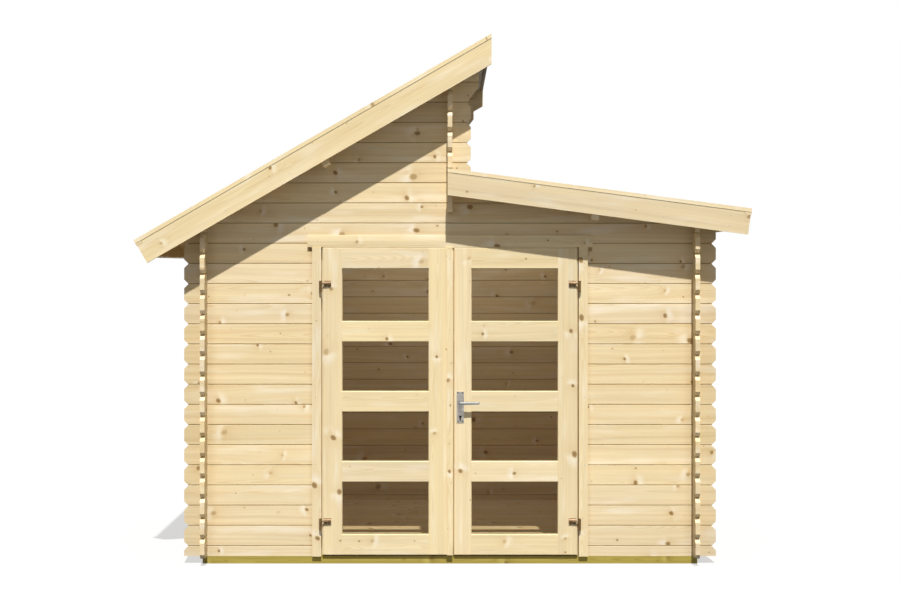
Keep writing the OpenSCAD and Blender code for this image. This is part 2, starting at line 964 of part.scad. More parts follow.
module left_leaf_glass() {
    leaf_glass(-pane_out_x, -pane_in_x);
}

module right_leaf_glass() {
    leaf_glass(pane_in_x, pane_out_x);
}

module left_leaf_beads() {
    leaf_beads(-pane_out_x, -pane_in_x);
}

module right_leaf_beads() {
    leaf_beads(pane_in_x, pane_out_x);
}

module meeting_strip() {
    color(WOOD_LIGHT)
        span([left_edge_x - meeting_strip_w, leaf_front_y - meeting_strip_t, leaf_bottom],
             [left_edge_x, leaf_front_y, leaf_top]);
}

// ---------- Hinges ----------

knuckle_gap = 2;
knuckle_h = (barrel_h - knuckle_gap) / 2;
pin_h = barrel_h - 2 * knuckle_gap;
arm_d = 9;
plate_w = 43;
plate_h = 38;
plate_bulge = 12;
plate_in = 4;

// Frame half of a hinge, at the right of the door: a knuckle with its pin and its stud
module frame_hinge(z) {
    sunk = 2;
    translate([hinge_x, hinge_y, z]) {
        cylinder(d = barrel_d, h = knuckle_h);
        cylinder(d = pin_d, h = pin_h);
        translate([0, barrel_d / 2 - sunk, knuckle_h / 2])
            rotate([-90, 0, 0])
                cylinder(d = arm_d, h = barrel_gap + sunk);
    }
}

// Leaf half of a hinge: a knuckle over the pin, an arm and a rounded plate on the leaf
module leaf_hinge(z) {
    leaf_x = leaf_side_x - leaf_bevel - plate_in;
    translate([hinge_x, hinge_y, z + barrel_h - knuckle_h])
        difference() {
            union() {
                cylinder(d = barrel_d, h = knuckle_h);
                translate([-hinge_x + leaf_x - plate_w / 2, 0, knuckle_h / 2])
                    rotate([0, 90, 0])
                        cylinder(d = arm_d, h = hinge_x - leaf_x + plate_w / 2 - barrel_d / 4);
            }
            translate([0, 0, -1])
                cylinder(d = pin_d + 2 * pin_gap, h = knuckle_h - knuckle_gap);
        }
    translate([leaf_x - plate_w / 2, leaf_front_y, z + barrel_h])
        hinge_plate();
}

// A plate hung from its top edge: a shallow arc seen from the side, flat on the leaf, and two
// lobes along its lower edge seen from the front
module hinge_plate() {
    r = (plate_h * plate_h / 4 + plate_bulge * plate_bulge) / (2 * plate_bulge);
    lobe = plate_w / 4;
    intersection() {
        along_x(-plate_w / 2, plate_w / 2)
            intersection() {
                translate([r - plate_bulge, -plate_h / 2])
                    circle(r = r, $fn = 96);
                area([-plate_bulge - 1, -plate_h - 1], [0, 1]);
            }
        along_y(-plate_bulge - 1, 1) {
            area([-plate_w / 2, lobe - plate_h], [plate_w / 2, 0]);
            for (side = [-1, 1])
                translate([side * lobe, lobe - plate_h])
                    circle(r = lobe);
        }
    }
}

module hinge_pins() {
    color(BRONZE)
        for (side = [0, 1], z = hinge_zs)
            mirror([side, 0, 0])
                frame_hinge(z);
}

module right_leaf_hinges() {
    color(BRONZE)
        for (z = hinge_zs)
            leaf_hinge(z);
}

module left_leaf_hinges() {
    mirror([1, 0, 0])
        right_leaf_hinges();
}

// ---------- Lock plates and handle ----------

lock_plate_w = 44;
lock_plate_h = 186;
lock_plate_t = 3;
lock_plate_r = 4;
plate_over_axis = 67;
keyhole_drop = 84;
keyhole_d = 17;
keyhole_slot_w = 10;
keyhole_slot_h = 18;
rim_w = 4;
rim_t = 2;
spindle_d = 9;
spindle_gap = 0.5;
collar_d = 22;

// Hole for a profile cylinder, below the handle's axis, or its outline at a distance all round
module keyhole(grow) {
    translate([0, -keyhole_drop]) {
        circle(d = keyhole_d + 2 * grow);
        area([-keyhole_slot_w / 2 - grow, -keyhole_slot_h], [keyhole_slot_w / 2 + grow, 0]);
        translate([0, -keyhole_slot_h])
            circle(d = keyhole_slot_w + 2 * grow);
    }
}

module rounded_area(w, h, r) {
    area([-w / 2 + r, 0], [w / 2 - r, h]);
    area([-w / 2, r], [w / 2, h - r]);
    for (x = [r - w / 2, w / 2 - r], z = [r, h - r])
        translate([x, z])
            circle(r = r);
}

// A plate with a hole for the collar, and a raised rim round the keyhole on its outer face
module lock_plate(y, rim_y) {
    along_y(y, y + lock_plate_t)
        difference() {
            translate([0, plate_over_axis - lock_plate_h])
                rounded_area(lock_plate_w, lock_plate_h, lock_plate_r);
            circle(d = collar_d + 2 * spindle_gap);
            keyhole(0);
        }
    along_y(rim_y, rim_y + rim_t)
        difference() {
            keyhole(rim_w);
            keyhole(0);
        }
}

module lock_plates() {
    color(METAL)
        translate([handle_x, 0, handle_z]) {
            lock_plate(leaf_front_y - lock_plate_t, leaf_front_y - lock_plate_t - rim_t);
            lock_plate(leaf_back_y, leaf_back_y + lock_plate_t);
        }
}

// A lever that tapers to a round tip, with a round elbow and a neck down to the leaf's face
module lever(face_y, out) {
    translate([0, face_y + (out > 0 ? spindle_gap : out), 0])
        rotate([-90, 0, 0])
            cylinder(d = collar_d, h = abs(out) - spindle_gap);
    translate([0, face_y + out, 0]) {
        sphere(d = collar_d);
        rotate([0, 90, 0])
            cylinder(d1 = lever_d, d2 = lever_tip_d, h = lever_l - lever_tip_d / 2);
        translate([lever_l - lever_tip_d / 2, 0, 0])
            sphere(d = lever_tip_d);
    }
}

// Two levers on one spindle
module door_handle() {
    color(METAL)
        translate([handle_x, 0, handle_z]) {
            lever(leaf_front_y, -lever_out);
            lever(leaf_back_y, lever_out);
            translate([0, leaf_front_y - lever_out, 0])
                rotate([-90, 0, 0])
                    cylinder(d = spindle_d, h = leaf_t + 2 * lever_out);
        }
}

// ---------- Nodes ----------

base_beam_front();
base_beam_back();
base_cross_beams();
floor();
front_wall_left();
front_wall_right();
front_wall_top();
front_gable();
back_wall();
back_wall_top();
back_gable();
left_wall();
right_wall();
step_wall();
upper_purlin();
lower_purlin();
upper_roof_deck();
lower_roof_deck();
upper_roof_felt();
lower_roof_felt();
upper_barge_front();
upper_barge_back();
lower_barge_front();
lower_barge_back();
upper_verge_strips();
lower_verge_strips();
upper_eave_board();
lower_eave_board();
upper_eave_lath();
lower_eave_lath();
high_edge_board();
door_jamb_left();
door_jamb_right();
door_head();
door_head_casing();
door_sill();
hinge_pins();
left_leaf_frame();
left_leaf_glass();
left_leaf_beads();
meeting_strip();
left_leaf_hinges();
right_leaf_frame();
right_leaf_glass();
right_leaf_beads();
right_leaf_hinges();
lock_plates();
door_handle();
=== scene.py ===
"""Finishes, ironwork details, studio and camera for a split-level log garden house.

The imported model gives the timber, panes and fittings as a fixed frame. This add-on paints every
part with procedural finishes, lays the courses of roofing felt, sets nails and screws, and puts
the house on a plain studio floor. Lengths are metres, +Z is up, and the front faces -Y.
"""

import json
import math
from collections import namedtuple

import bpy
import numpy as np
from bpy.props import FloatProperty, FloatVectorProperty, PointerProperty
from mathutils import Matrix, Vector
from mathutils.bvhtree import BVHTree


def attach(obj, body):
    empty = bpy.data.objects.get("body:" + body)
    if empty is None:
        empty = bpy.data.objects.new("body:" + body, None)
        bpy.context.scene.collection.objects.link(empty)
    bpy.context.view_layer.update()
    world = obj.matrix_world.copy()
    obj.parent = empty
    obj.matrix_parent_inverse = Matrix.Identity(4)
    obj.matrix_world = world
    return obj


bl_info = {
    "name": "Log garden house",
    "version": (1, 0, 0),
    "blender": (4, 5, 0),
    "location": "3D Viewport > Sidebar > Garden House",
    "description": "Finishes and fittings for a split-level log garden house",
    "category": "Object",
}

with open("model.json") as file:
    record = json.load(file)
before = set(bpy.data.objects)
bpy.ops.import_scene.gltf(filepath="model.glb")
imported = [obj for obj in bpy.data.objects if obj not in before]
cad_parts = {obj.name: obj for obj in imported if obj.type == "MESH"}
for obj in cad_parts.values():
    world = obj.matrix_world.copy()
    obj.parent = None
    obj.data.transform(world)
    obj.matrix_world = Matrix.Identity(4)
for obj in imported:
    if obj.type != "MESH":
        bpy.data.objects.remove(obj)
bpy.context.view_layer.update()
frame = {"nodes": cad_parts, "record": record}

X, Y, Z = np.eye(3)
WHITE = (1, 1, 1, 1)
SUN_SPREAD = math.radians(0.8)


def srgb(red, green, blue):
    """The linear colour that a display shows as these 0 to 255 values."""
    return tuple(((v / 255 + 0.055) / 1.055) ** 2.4 for v in (red, green, blue))


def setting(maker=FloatProperty, **kind):
    """A maker of settings of one kind, each from its name, its description and its default."""

    def make(name, description, value, **more):
        return maker(name=name, description=description, default=value, **kind, **more)

    return make


colour = setting(FloatVectorProperty, subtype="COLOR", size=3, min=0, max=1)
length = setting(min=0, unit="LENGTH", precision=4)
share = setting(min=0, max=1, subtype="FACTOR")
amount = setting(min=0)
angled = setting(subtype="ANGLE")
plain_number = setting()


# ---------- Reading the frame ----------


def read(items, name, width):
    """One attribute of a mesh's items as an array, with a row for each item."""
    values = np.empty(len(items) * width)
    items.foreach_get(name, values)
    return values.reshape(-1, width)


def span(node, direction):
    """Lowest and highest reach of a CAD node along a direction."""
    reach = read(frame["nodes"][node].data.vertices, "co", 3) @ direction
    return reach.min(), reach.max()


def middle(node, direction):
    """Middle of a CAD node along a direction."""
    return sum(span(node, direction)) / 2


def slope(node):
    """Directions down a roof and square to it, from the largest upward face of a CAD node."""
    faces = frame["nodes"][node].data.polygons
    normals = read(faces, "normal", 3)
    normal = normals[np.argmax(read(faces, "area", 1)[:, 0] * (normals[:, 2] > 0.5))]
    down = np.array([normal[2], 0, -normal[0]]) * np.sign(normal[0])
    return down, normal


def landing(node, starts, direction):
    """Where rays from places along a direction first meet a CAD node: points and face normals."""
    tree = BVHTree.FromObject(frame["nodes"][node], bpy.context.evaluated_depsgraph_get())
    starts = np.asarray(starts, float)
    hits = [tree.ray_cast(Vector(start), Vector(direction))[:2] for start in starts]
    if any(point is None for point, _ in hits):
        raise ValueError(f"a fixing misses {node}")
    return np.array([point for point, _ in hits]), np.array([normal for _, normal in hits])


ROOFS = {roof: slope(roof + "_roof_felt") for roof in ("upper", "lower")}
FULL_LOGS_BESIDE_DOOR = 15
BEAM_TOP = span("base_beam_front", Z)[1]
LOG_HEIGHT = (span("front_wall_left", Z)[1] - BEAM_TOP) / (FULL_LOGS_BESIDE_DOOR + 0.5)
ROOF_BOARD = 0.094
FLOOR_BOARD = 0.096
VERGE_STRIP = 0.04
JAMB_BOARD = 0.074
CROSS_BEAMS = 5
PANES = 4

# ---------- Settings ----------


class TimberSettings(bpy.types.PropertyGroup):
    """Colours and growth of the spruce that the house is made of."""

    early_wood: colour("Early wood", "Pale wood of the spring growth", srgb(246, 227, 186))
    late_wood: colour("Late wood", "Darker line that ends each year's growth", srgb(222, 189, 134))
    joinery_early: colour("Joinery early wood", "Pale wood of doors and trim", srgb(247, 229, 187))
    joinery_late: colour("Joinery late wood", "Darker lines of doors and trim", srgb(226, 196, 144))
    pale_wood: colour(
        "Pale patches", "Early wood's bright figure beside knots", srgb(252, 238, 212)
    )
    knot_heart: colour("Knot", "Middle of a knot", srgb(142, 104, 50))
    knot_rim: colour("Knot rim", "Dark edge round a knot", srgb(126, 98, 52))
    # Painted shade under each log's lower edge, where the groove lies in shade
    groove_shade_tone: colour(
        "Groove", "Tone under a log's lower edge, where dust gathers", srgb(168, 160, 130)
    )
    # Painted shade where walls cross, and beside the door jambs
    corner_shade_tone: share("Corners", "How dark the wood is where two walls cross", 0.12)
    # Painted shade on the inward sides of the crossing log ends
    inner_side_shade_tone: share("Inner sides", "How dark the inner sides of the crossing log ends are", 0.26)
    # Painted shade on up-facing tops of the door head, casing and sill, which keeps them from
    # lighting the wall
    ledge_shade_tone: share("Ledges", "How dark dust makes the top of a ledge", 0.6)
    # Painted shadow of the verge strip along the top of each barge board
    strip_shadow_tone: share("Shadow lines", "How dark a barge board is right under its strip", 0.4)
    treated_early: colour("Treated wood", "Pale wood after green treatment", srgb(188, 168, 80))
    treated_late: colour(
        "Treated late wood", "Darker lines after green treatment", srgb(146, 127, 58)
    )
    lower_tone: amount("Low barges", "Tone of the low roof's barge boards", 0.9, max=1)
    # Painted shade on down-facing wood under the high roof's open edge
    soffit_shade_tone: amount(
        "High soffit", "Tone of the wood under the high roof's open edge", 0.5, max=1
    )
    ring_width: length("Ring width", "One year's growth", 0.0026)
    log_height: length("Log height", "Height that one log adds to a wall", LOG_HEIGHT)
    beam_width: length("Beam width", "Width of a ground beam", 0.06)
    glass_lap: length("Glass lap", "How far a pane runs into its rebate", 0.0095)


class RoofSettings(bpy.types.PropertyGroup):
    """Roofing felt and the nails that hold it."""

    felt_dark: colour("Felt", "Bitumen between the grit", srgb(36, 36, 38))
    felt_grit: colour("Grit", "Mineral grains on the felt", srgb(84, 84, 86))
    course: length("Course", "Width of felt that shows between two laps", 0.9)
    felt_edge: length("Felt edge", "Thickness of a felt's lower edge", 0.0028)
    clout_pitch: length("Clout pitch", "Distance between the nails along a lap", 0.1)
    clout_head: length("Clout head", "Diameter of a felt nail's head", 0.01)


class FittingSettings(bpy.types.PropertyGroup):
    """Metal parts and glass."""

    nail: colour("Nail steel", "Zinc on nails and screws", srgb(176, 178, 180))
    hinge: colour("Hinge steel", "Dark steel of the hinges", srgb(112, 84, 44))
    handle: colour("Handle metal", "Satin metal of the handle", srgb(148, 149, 148))
    plate: colour("Plate metal", "Satin metal of the lock plates", srgb(176, 171, 164))
    screw: colour("Screw steel", "Dark steel of the screws and the lock", srgb(66, 60, 48))
    glass: colour("Glass", "Light that a pane lets through", (0.68, 0.66, 0.6))
    screw_head: length("Screw head", "Diameter of a screw's head", 0.0085)
    nail_head: length("Nail head", "Diameter of a nail's head in boards and trim", 0.0045)
    nail_pitch: length("Nail pitch", "Distance between two nails along a board", 0.42)
    lock_plate: length("Lock plate", "Thickness of a lock plate", 0.003)
    lock_barrel: length("Lock barrel", "Diameter of the round part of the lock", 0.0166)
    lock_web: length("Lock web", "Width of the lock's web", 0.0096)
    lock_drop: length("Lock drop", "From the barrel's middle to the web's end", 0.018)
    lock_below: length("Lock below", "From the handle down to the lock", 0.084)
    lip: length("Lip", "How far a lip stands into the gap round the doors", 0.003)


class StudioSettings(bpy.types.PropertyGroup):
    """Light, floor and camera."""

    sun_strength: amount("Sun", "Strength of the key light", 4.6, max=10)
    sun_height: angled("Sun height", "Angle of the key light over the ground", math.radians(61))
    sun_side: angled(
        "Sun side", "How far the key light stands to the right of the front", math.radians(4.5)
    )
    sky: amount("Sky", "Strength of the even light from all around", 0.36, max=10)
    floor: colour("Floor", "Colour of the studio floor", (0.64, 0.64, 0.64))
    floor_glow: amount("Floor glow", "How far the floor fades into the backdrop", 0.6, max=1)
    floor_return: amount(
        "Floor return", "Share of its colour that the floor throws back", 0.18, max=1
    )
    inner_light: amount(
        "Inner light", "Power of the soft lamp under the roof, in watts", 5.0, max=100
    )
    distance: length("Distance", "From the front wall to the camera", 9.47)
    eye: length("Eye height", "Height of the camera", 1.786)
    lens: plain_number("Lens", "Focal length in millimetres", 63.1)
    shift: plain_number("Shift", "Vertical lens shift", -0.0378)


# ---------- Shader arithmetic ----------


def arithmetic(operation):
    """Methods that add a Math node for an operator and for its reflected form."""

    def forward(self, other):
        return self.math(operation, self, other)

    def reflected(self, other):
        return self.math(operation, other, self)

    return forward, reflected


class Wire:
    """An output of a shader node; arithmetic on wires adds Math nodes to their tree."""

    __add__, __radd__ = arithmetic("ADD")
    __sub__, __rsub__ = arithmetic("SUBTRACT")
    __mul__, __rmul__ = arithmetic("MULTIPLY")
    __truediv__, __rtruediv__ = arithmetic("DIVIDE")
    __pow__ = arithmetic("POWER")[0]

    def __init__(self, tree, socket=None):
        self.tree = tree
        self.socket = socket

    def node(self, kind, settings=None, inputs=None, output=0):
        """Adds a node: its settings, then its inputs from values or wires; gives one output."""
        added = self.tree.nodes.new("ShaderNode" + kind)
        for name, value in (settings or {}).items():
            if name == "stops":
                while len(added.color_ramp.elements) < len(value):
                    added.color_ramp.elements.new(1)
                for element, (place, shade) in zip(added.color_ramp.elements, value):
                    element.position = place
                    element.color = (*shade, 1)
            else:
                setattr(added, name, value)
        for name, value in (inputs or {}).items():
            if isinstance(value, Wire):
                self.tree.links.new(value.socket, added.inputs[name])
            else:
                added.inputs[name].default_value = value
        return Wire(self.tree, added.outputs[output])

    def math(self, operation, *values):
        return self.node("Math", {"operation": operation}, dict(enumerate(values)))

    def __abs__(self):
        return self.math("ABSOLUTE", self)

    def floor(self):
        return self.math("FLOOR", self)

    def fract(self):
        return self.math("FRACT", self)

    def ramp(self, low, high):
        """0 below low, 1 above high, and a smooth step between; low may be the larger."""
        return self.node(
            "MapRange",
            {"interpolation_type": "SMOOTHSTEP", "clamp": True},
            {"Value": self, "From Min": low, "From Max": high},
        )

    def dot(self, direction):
        """Length of a vector wire along a direction."""
        return self.node(
            "VectorMath", {"operation": "DOT_PRODUCT"}, {0: self, 1: tuple(direction)}, "Value"
        )

    def point(self, *parts):
        """A vector from three numbers or wires."""
        return self.node("CombineXYZ", None, dict(enumerate(parts)))

    def parts(self):
        """The three numbers of a vector wire."""
        split = self.node("SeparateXYZ", None, {0: self}).socket.node
        return [Wire(self.tree, out) for out in split.outputs]

    def random(self, *seed):
        """Three random numbers from 0 to 1 that stay the same wherever the seed does."""
        return self.node("TexWhiteNoise", None, {"Vector": self.point(*seed)}, "Color").parts()

    def noise(self, detail, *place):
        """Smooth noise around 0.5 at a place measured in its own features."""
        return self.node(
            "TexNoise", None, {"Vector": self.point(*place), "Scale": 1.0, "Detail": detail}
        )

    def mix(self, first, second, factor, blend="MIX"):
        """A blend of two colours."""
        kind = {"data_type": "RGBA", "blend_type": blend}
        return self.node("Mix", kind, {0: factor, 6: first, 7: second}, 2)

    def times(self, first, second):
        """The product of two colours."""
        return self.mix(first, second, 1.0, "MULTIPLY")


def opaque(shade):
    """A colour with full alpha, as sockets take it."""
    return (*shade, 1.0)


# ---------- Spruce ----------

# Where the boards of a part lie: three directions, where the first board starts, the distance
# from one board to the next and a board's own breadth, the middle of its thickness, whether a
# twin part mirrors it through the middle of the house, and a seed for its growth.
Boards = namedtuple("Boards", "along across through first pitch breadth middle folded seed")

# Knots: length of the stretch that holds one at most, their least and largest radius, the share
# of stretches that have one, and a salt for the random draws.
BIG_KNOTS = (0.44, (0.0065, 0.0155), 0.62, 2.0)
SMALL_KNOTS = (0.26, (0.0016, 0.0048), 0.4, 9.0)

SPRUCE_INPUTS = ("Along", "Across", "Through", "Board", "Side", "Breadth", "End", "Shade")


def root(value):
    """Square root of a wire."""
    return value.math("SQRT", value)


def knots(along, across, board, breadth, spacing, radii, common, salt):
    """The distance from a knot over its radius, the push on the rings, one side, and ripeness.

    Each stretch of a board has one knot at most, at a random place, with a random radius, lean
    and length; stretches past the common share get a knot of no size.
    """
    stretch = (along / spacing).floor()
    place, height, chance = along.random(stretch, board, salt)
    size, shape, lean = along.random(stretch, board, salt + 0.5)
    there = chance.math("LESS_THAN", chance, common)
    radius = (radii[0] + (radii[1] - radii[0]) * size * size) * there + 0.00001
    up = across - (height - 0.5) * breadth * 0.92
    side = along - (stretch + 0.28 + 0.44 * place) * spacing + up * (lean - 0.5) * 0.6
    ragged = along.noise(2, along * 60, across * 60, board) - 0.5
    ratio = root(side * side * (0.5 + shape * 0.9) + up * up) / radius * (1 + ragged * 0.35)
    beside = (side * (shape - 0.5).math("SIGN", shape - 0.5) / radius).ramp(-0.5, 2.5)
    return ratio, radius * 1.1 / (1 + ratio * ratio * 0.25), beside, lean.ramp(0.05, 0.6)


def spruce_group(timber):
    """Node group for a spruce board cut from a log.

    Each board has the pith at its own place. The distance from the pith, warped along the board
    and pushed aside by knots, over the width of a ring gives the year: its fraction shades from
    pale early wood to dark late wood, which shows as figure on a face and as arcs on an end.
    """
    tree = bpy.data.node_groups.new("Spruce", "ShaderNodeTree")
    for name in SPRUCE_INPUTS:
        tree.interface.new_socket(name, in_out="INPUT", socket_type="NodeSocketFloat")
    for name in ("Early", "Late"):
        tree.interface.new_socket(name, in_out="INPUT", socket_type="NodeSocketColor")
    tree.interface.new_socket("Color", in_out="OUTPUT", socket_type="NodeSocketColor")
    for name in ("Height", "Late"):
        tree.interface.new_socket(name, in_out="OUTPUT", socket_type="NodeSocketFloat")
    inside = tree.nodes.new("NodeGroupInput")
    given = {out.name: Wire(tree, out) for out in inside.outputs if out.name}
    across, through, breadth, end = (given[n] for n in ("Across", "Through", "Breadth", "End"))
    early, late_wood = given["Early"], given["Late"]
    board = given["Board"] + given["Side"] * 0.37
    pith_up, pith_in, turn = across.random(board, 1.5, 0.2)
    shift, light, hue = across.random(board, 4.5, 0.7)
    along = given["Along"] + shift * 37

    sway = along.point(along * 0.7, board * 3.1, 0.0)
    sway = along.node("TexNoise", None, {"Vector": sway, "Scale": 1.0}, "Color")
    sway_up, sway_in, _ = sway.parts()
    up = across - (pith_up - 0.5) * breadth * 1.4 - (sway_up - 0.5) * 0.09
    heart_side = turn.math("SIGN", turn - 0.5)
    deep = through + heart_side * (0.018 + 0.055 * pith_in) - (sway_in - 0.5) * 0.05
    big, big_push, beside, ripe = knots(along, across, board, breadth, *BIG_KNOTS)
    small, small_push, _, dark = knots(along, across, board, breadth, *SMALL_KNOTS)
    ripple = along.noise(3, along * 1.6, across * 26, through * 26) - 0.5
    age = root(up * up + deep * deep) + big_push + small_push + ripple * 0.006 + along * 0.003

    year = (age / timber.ring_width).fract()
    late = year.ramp(0.35, 0.92) * (1 - year.ramp(0.93, 1.0))
    band = along.noise(2, age * 80, board * 7, 0.0)
    streak = along.noise(3, along * 0.9, across * 60, through * 60 + board)
    broad = along.noise(1, along * 1.1, across * 24, board * 9)
    cloud = along.noise(2, along * 2.6, across * 15, board * 5)
    glow = along.noise(1, along * 9, across * 20, board * 11)
    fibre = along.noise(2, along * 14, across * 1100, through * 1100)

    paler = opaque([pale / plain for pale, plain in zip(timber.pale_wood, timber.early_wood)])
    pale = along.times(early, paler)
    strength = 0.2 + 0.3 * band + end * 0.2
    tone = along.mix(early, late_wood, late * strength + (band - 0.5) * 0.95 + 0.16)
    tone = along.mix(tone, pale, cloud.ramp(0.5, 0.74) * 0.6)
    halo = 0.6 / (1 + big * big * 0.14) + 0.45 / (1 + small * small * 0.3)
    tone = along.mix(tone, late_wood, halo)
    near = big.ramp(1.0, 2.0) * big.ramp(6.5, 2.2) * beside
    tone = along.mix(tone, pale, near * glow.ramp(0.25, 0.55) * 0.9)
    big_heart = big.ramp(1.4, 0.5) * (0.3 + 0.7 * ripe)
    small_heart = small.ramp(1.8, 0.5) * (0.25 + 0.75 * dark)
    heart = big.math("MAXIMUM", big_heart, small_heart)
    rim = big.ramp(0.5, 0.95) * big.ramp(1.35, 1.0)
    circles = (big * 7 + glow * 2).fract()
    tone = along.mix(tone, opaque(timber.knot_heart), heart * (0.78 + 0.14 * circles))
    tone = along.mix(tone, opaque(timber.knot_rim), rim * ripe * 0.45)
    # Painted shade: the bevel under each board's lower edge is darkened towards the groove tone, as
    # far as the Shade input says
    under = (across + breadth * 0.5).ramp(0.0065, 0.0008) * given["Shade"]
    tone = along.mix(tone, along.times(tone, opaque(timber.groove_shade_tone)), under)
    shade = 1 + (light - 0.5) * 0.09 + (streak - 0.5) * 0.16 + (fibre - 0.5) * 0.07 - end * 0.03
    shade = shade + (broad - 0.5) * 0.2
    tint = along.point(shade, shade * (1 + (hue - 0.5) * 0.02), shade * (1 + (hue - 0.5) * 0.12))
    tone = along.times(tone, tint)

    outside = tree.nodes.new("NodeGroupOutput")
    height = fibre * 0.5 - late * 0.5 - rim * 0.8
    for name, result in (("Color", tone), ("Height", height), ("Late", late)):
        tree.links.new(result.socket, outside.inputs[name])
    return tree


def new_material(name):
    """A material with an empty tree: the material, a wire to start from, and its output node."""
    material = bpy.data.materials.new(name)
    material.use_nodes = True
    tree = material.node_tree
    tree.nodes.clear()
    return material, Wire(tree), tree.nodes.new("ShaderNodeOutputMaterial")


def principled(wire, out, tone, roughness, bump, others):
    """A Principled shader on the output; bump is a height, a strength and a distance."""
    dents = wire.node("Bump", None, dict(zip(("Height", "Strength", "Distance"), bump)))
    inputs = {"Base Color": tone, "Roughness": roughness, "Normal": dents, **others}
    wire.tree.links.new(wire.node("BsdfPrincipled", None, inputs).socket, out.inputs["Surface"])


def lay(place, facing, boards):
    """Where a point lies in its own board, and how far its face is an end of it."""
    along = place.dot(boards.along)
    reach = (place.dot(boards.across) - boards.first) / boards.pitch
    board = reach.floor()
    across = (reach - board - 0.5) * boards.pitch
    through = place.dot(boards.through)
    side = through.math("SIGN", through) if boards.folded else through * 0
    through = (abs(through) if boards.folded else through) - boards.middle
    end = abs(facing.dot(boards.along)).ramp(0.6, 0.9)
    return [along, across, through, board + boards.seed, side, boards.breadth, end]


def spruce(name, group, boards, shades, rails=None, grooved=0.0, dim=None, gloss=0.3):
    """Spruce finish for boards, in two shades of early and late wood.

    rails are the boards between two places along X, if any; the groove share is how much painted
    shade darkens the grooves; the shading function of place and facing gives a factor of painted
    shade, which darkens the wood and warms it as light bounced off wood would.
    """
    material, wire, out = new_material(name)
    place = wire.node("TexCoord", output="Object")
    facing = wire.node("TexCoord", output="Normal")
    values = lay(place, facing, boards)
    if rails:
        rail_boards, low, high = rails
        side = place.dot(X)
        mask = side.math("GREATER_THAN", side, low) * side.math("LESS_THAN", side, high)
        others = lay(place, facing, rail_boards)
        values = [a + (b - a) * mask if isinstance(a, Wire) else a for a, b in zip(values, others)]
    inputs = dict(zip(SPRUCE_INPUTS, [*values, grooved]))
    inputs.update(Early=opaque(shades[0]), Late=opaque(shades[1]))
    grain = wire.node("Group", {"node_tree": group}, inputs).socket.node
    figure = {out.name: Wire(wire.tree, out) for out in grain.outputs}
    # Painted shade: the factor darkens the wood, more in blue than in red, as light bounced off
    # wood warms shade
    if dim:
        factor = dim(place, facing)
        shade = wire.point(factor, factor**1.08, factor**1.25)
        figure["Color"] = wire.times(figure["Color"], shade)
    bump = (figure["Height"], 0.35, 0.0006)
    roughness = 0.6 - figure["Late"] * 0.1
    principled(wire, out, figure["Color"], roughness, bump, {"Specular IOR Level": gloss})
    return material


def finish(material, *nodes):
    """Gives CAD nodes one finish in all their material slots."""
    for node in nodes:
        for slot in frame["nodes"][node].material_slots:
            slot.material = material


def row(node, along, across, through, pitch, first, seed, breadth=None):
    """A row of like boards."""
    inner = middle(node, through)
    return Boards(along, across, through, first, pitch, breadth or pitch, inner, False, seed)


def single(node, along, across, through, seed, folded=False):
    """One board, or two where a twin part lies on the other side of the house."""
    low, high = span(node, across)
    size = high - low
    inner = abs(middle(node, through)) if folded else middle(node, through)
    return Boards(along, across, through, low, size, size, inner, folded, seed)


# ---------- Other finishes ----------


def metal(name, shade, roughness, grain, metallic=1.0):
    """Metal with faint cloudy wear and fine dents of a given size."""
    material, wire, out = new_material(name)
    place = wire.node("TexCoord", output="Object")
    x, y, z = place.parts()
    cloud = wire.noise(3, x / (grain * 12), y / (grain * 12), z / (grain * 12))
    fine = wire.noise(2, x / grain, y / grain, z / (grain * 3))
    tint = wire.mix(opaque([v * 0.72 for v in shade]), opaque(shade), cloud.ramp(0.3, 0.65))
    worn = roughness + (cloud - 0.5) * 0.2 + (fine - 0.5) * 0.1
    principled(wire, out, tint, worn, (fine, 0.3, 0.0002), {"Metallic": metallic})
    return material


def pane_glass(name, tint):
    """Flat tinted glass that lets the key light in.

    A pane is crossed twice, so each face takes the square root of the tint. The share that is
    mirrored grows with the fifth power of the slant, the same from both sides.
    """
    material, wire, out = new_material(name)
    clear = wire.node("BsdfTransparent", None, {"Color": opaque([v**0.5 for v in tint])})
    gloss = wire.node("BsdfGlossy", None, {"Color": WHITE, "Roughness": 0.02})
    slant = wire.node("LayerWeight", None, {"Blend": 0.5}, "Facing")
    pane = wire.node("MixShader", None, {0: 0.008 + 0.9 * slant**5, 1: clear, 2: gloss})
    wire.tree.links.new(pane.socket, out.inputs["Surface"])
    return material


def roofing_felt(name, roof):
    """Bitumen felt with mineral grit: each cell of a fine pattern is a grain of its own grey."""
    material, wire, out = new_material(name)
    place = wire.node("TexCoord", output="Object")
    x, y, z = place.parts()
    grit = wire.node("TexVoronoi", None, {"Vector": place, "Scale": 700.0}).socket.node
    distance = Wire(wire.tree, grit.outputs["Distance"])
    pick = Wire(wire.tree, grit.outputs["Color"]).parts()[0]
    cloud = wire.noise(3, x * 2.2, y * 3.1, z * 2.2)
    stain = wire.noise(2, x * 0.8, y * 9, z * 0.8)
    grain = distance.ramp(0.55, 0.2) * (0.35 + pick * 0.65)
    tone = wire.mix(opaque(roof.felt_dark), opaque(roof.felt_grit), grain)
    light = 1 + (cloud - 0.5) * 0.35 + (stain - 0.5) * 0.2
    tone = wire.times(tone, wire.point(light, light, light))
    bump = (distance * -1, 0.6, 0.001)
    principled(wire, out, tone, 0.86 + pick * 0.1, bump, {"Specular IOR Level": 0.25})
    return material


# ---------- Shapes ----------

# A mesh as arrays: its points, its four-sided faces and its triangles.
Shape = namedtuple("Shape", "points quads triangles")
NO_TRIANGLES = np.empty((0, 3), int)


def grid_quads(rows, columns):
    """Faces of a grid of points that are numbered row by row."""
    corner = (np.arange(rows - 1)[:, None] * columns + np.arange(columns - 1)).ravel()
    return np.stack([corner, corner + 1, corner + columns + 1, corner + columns], 1)


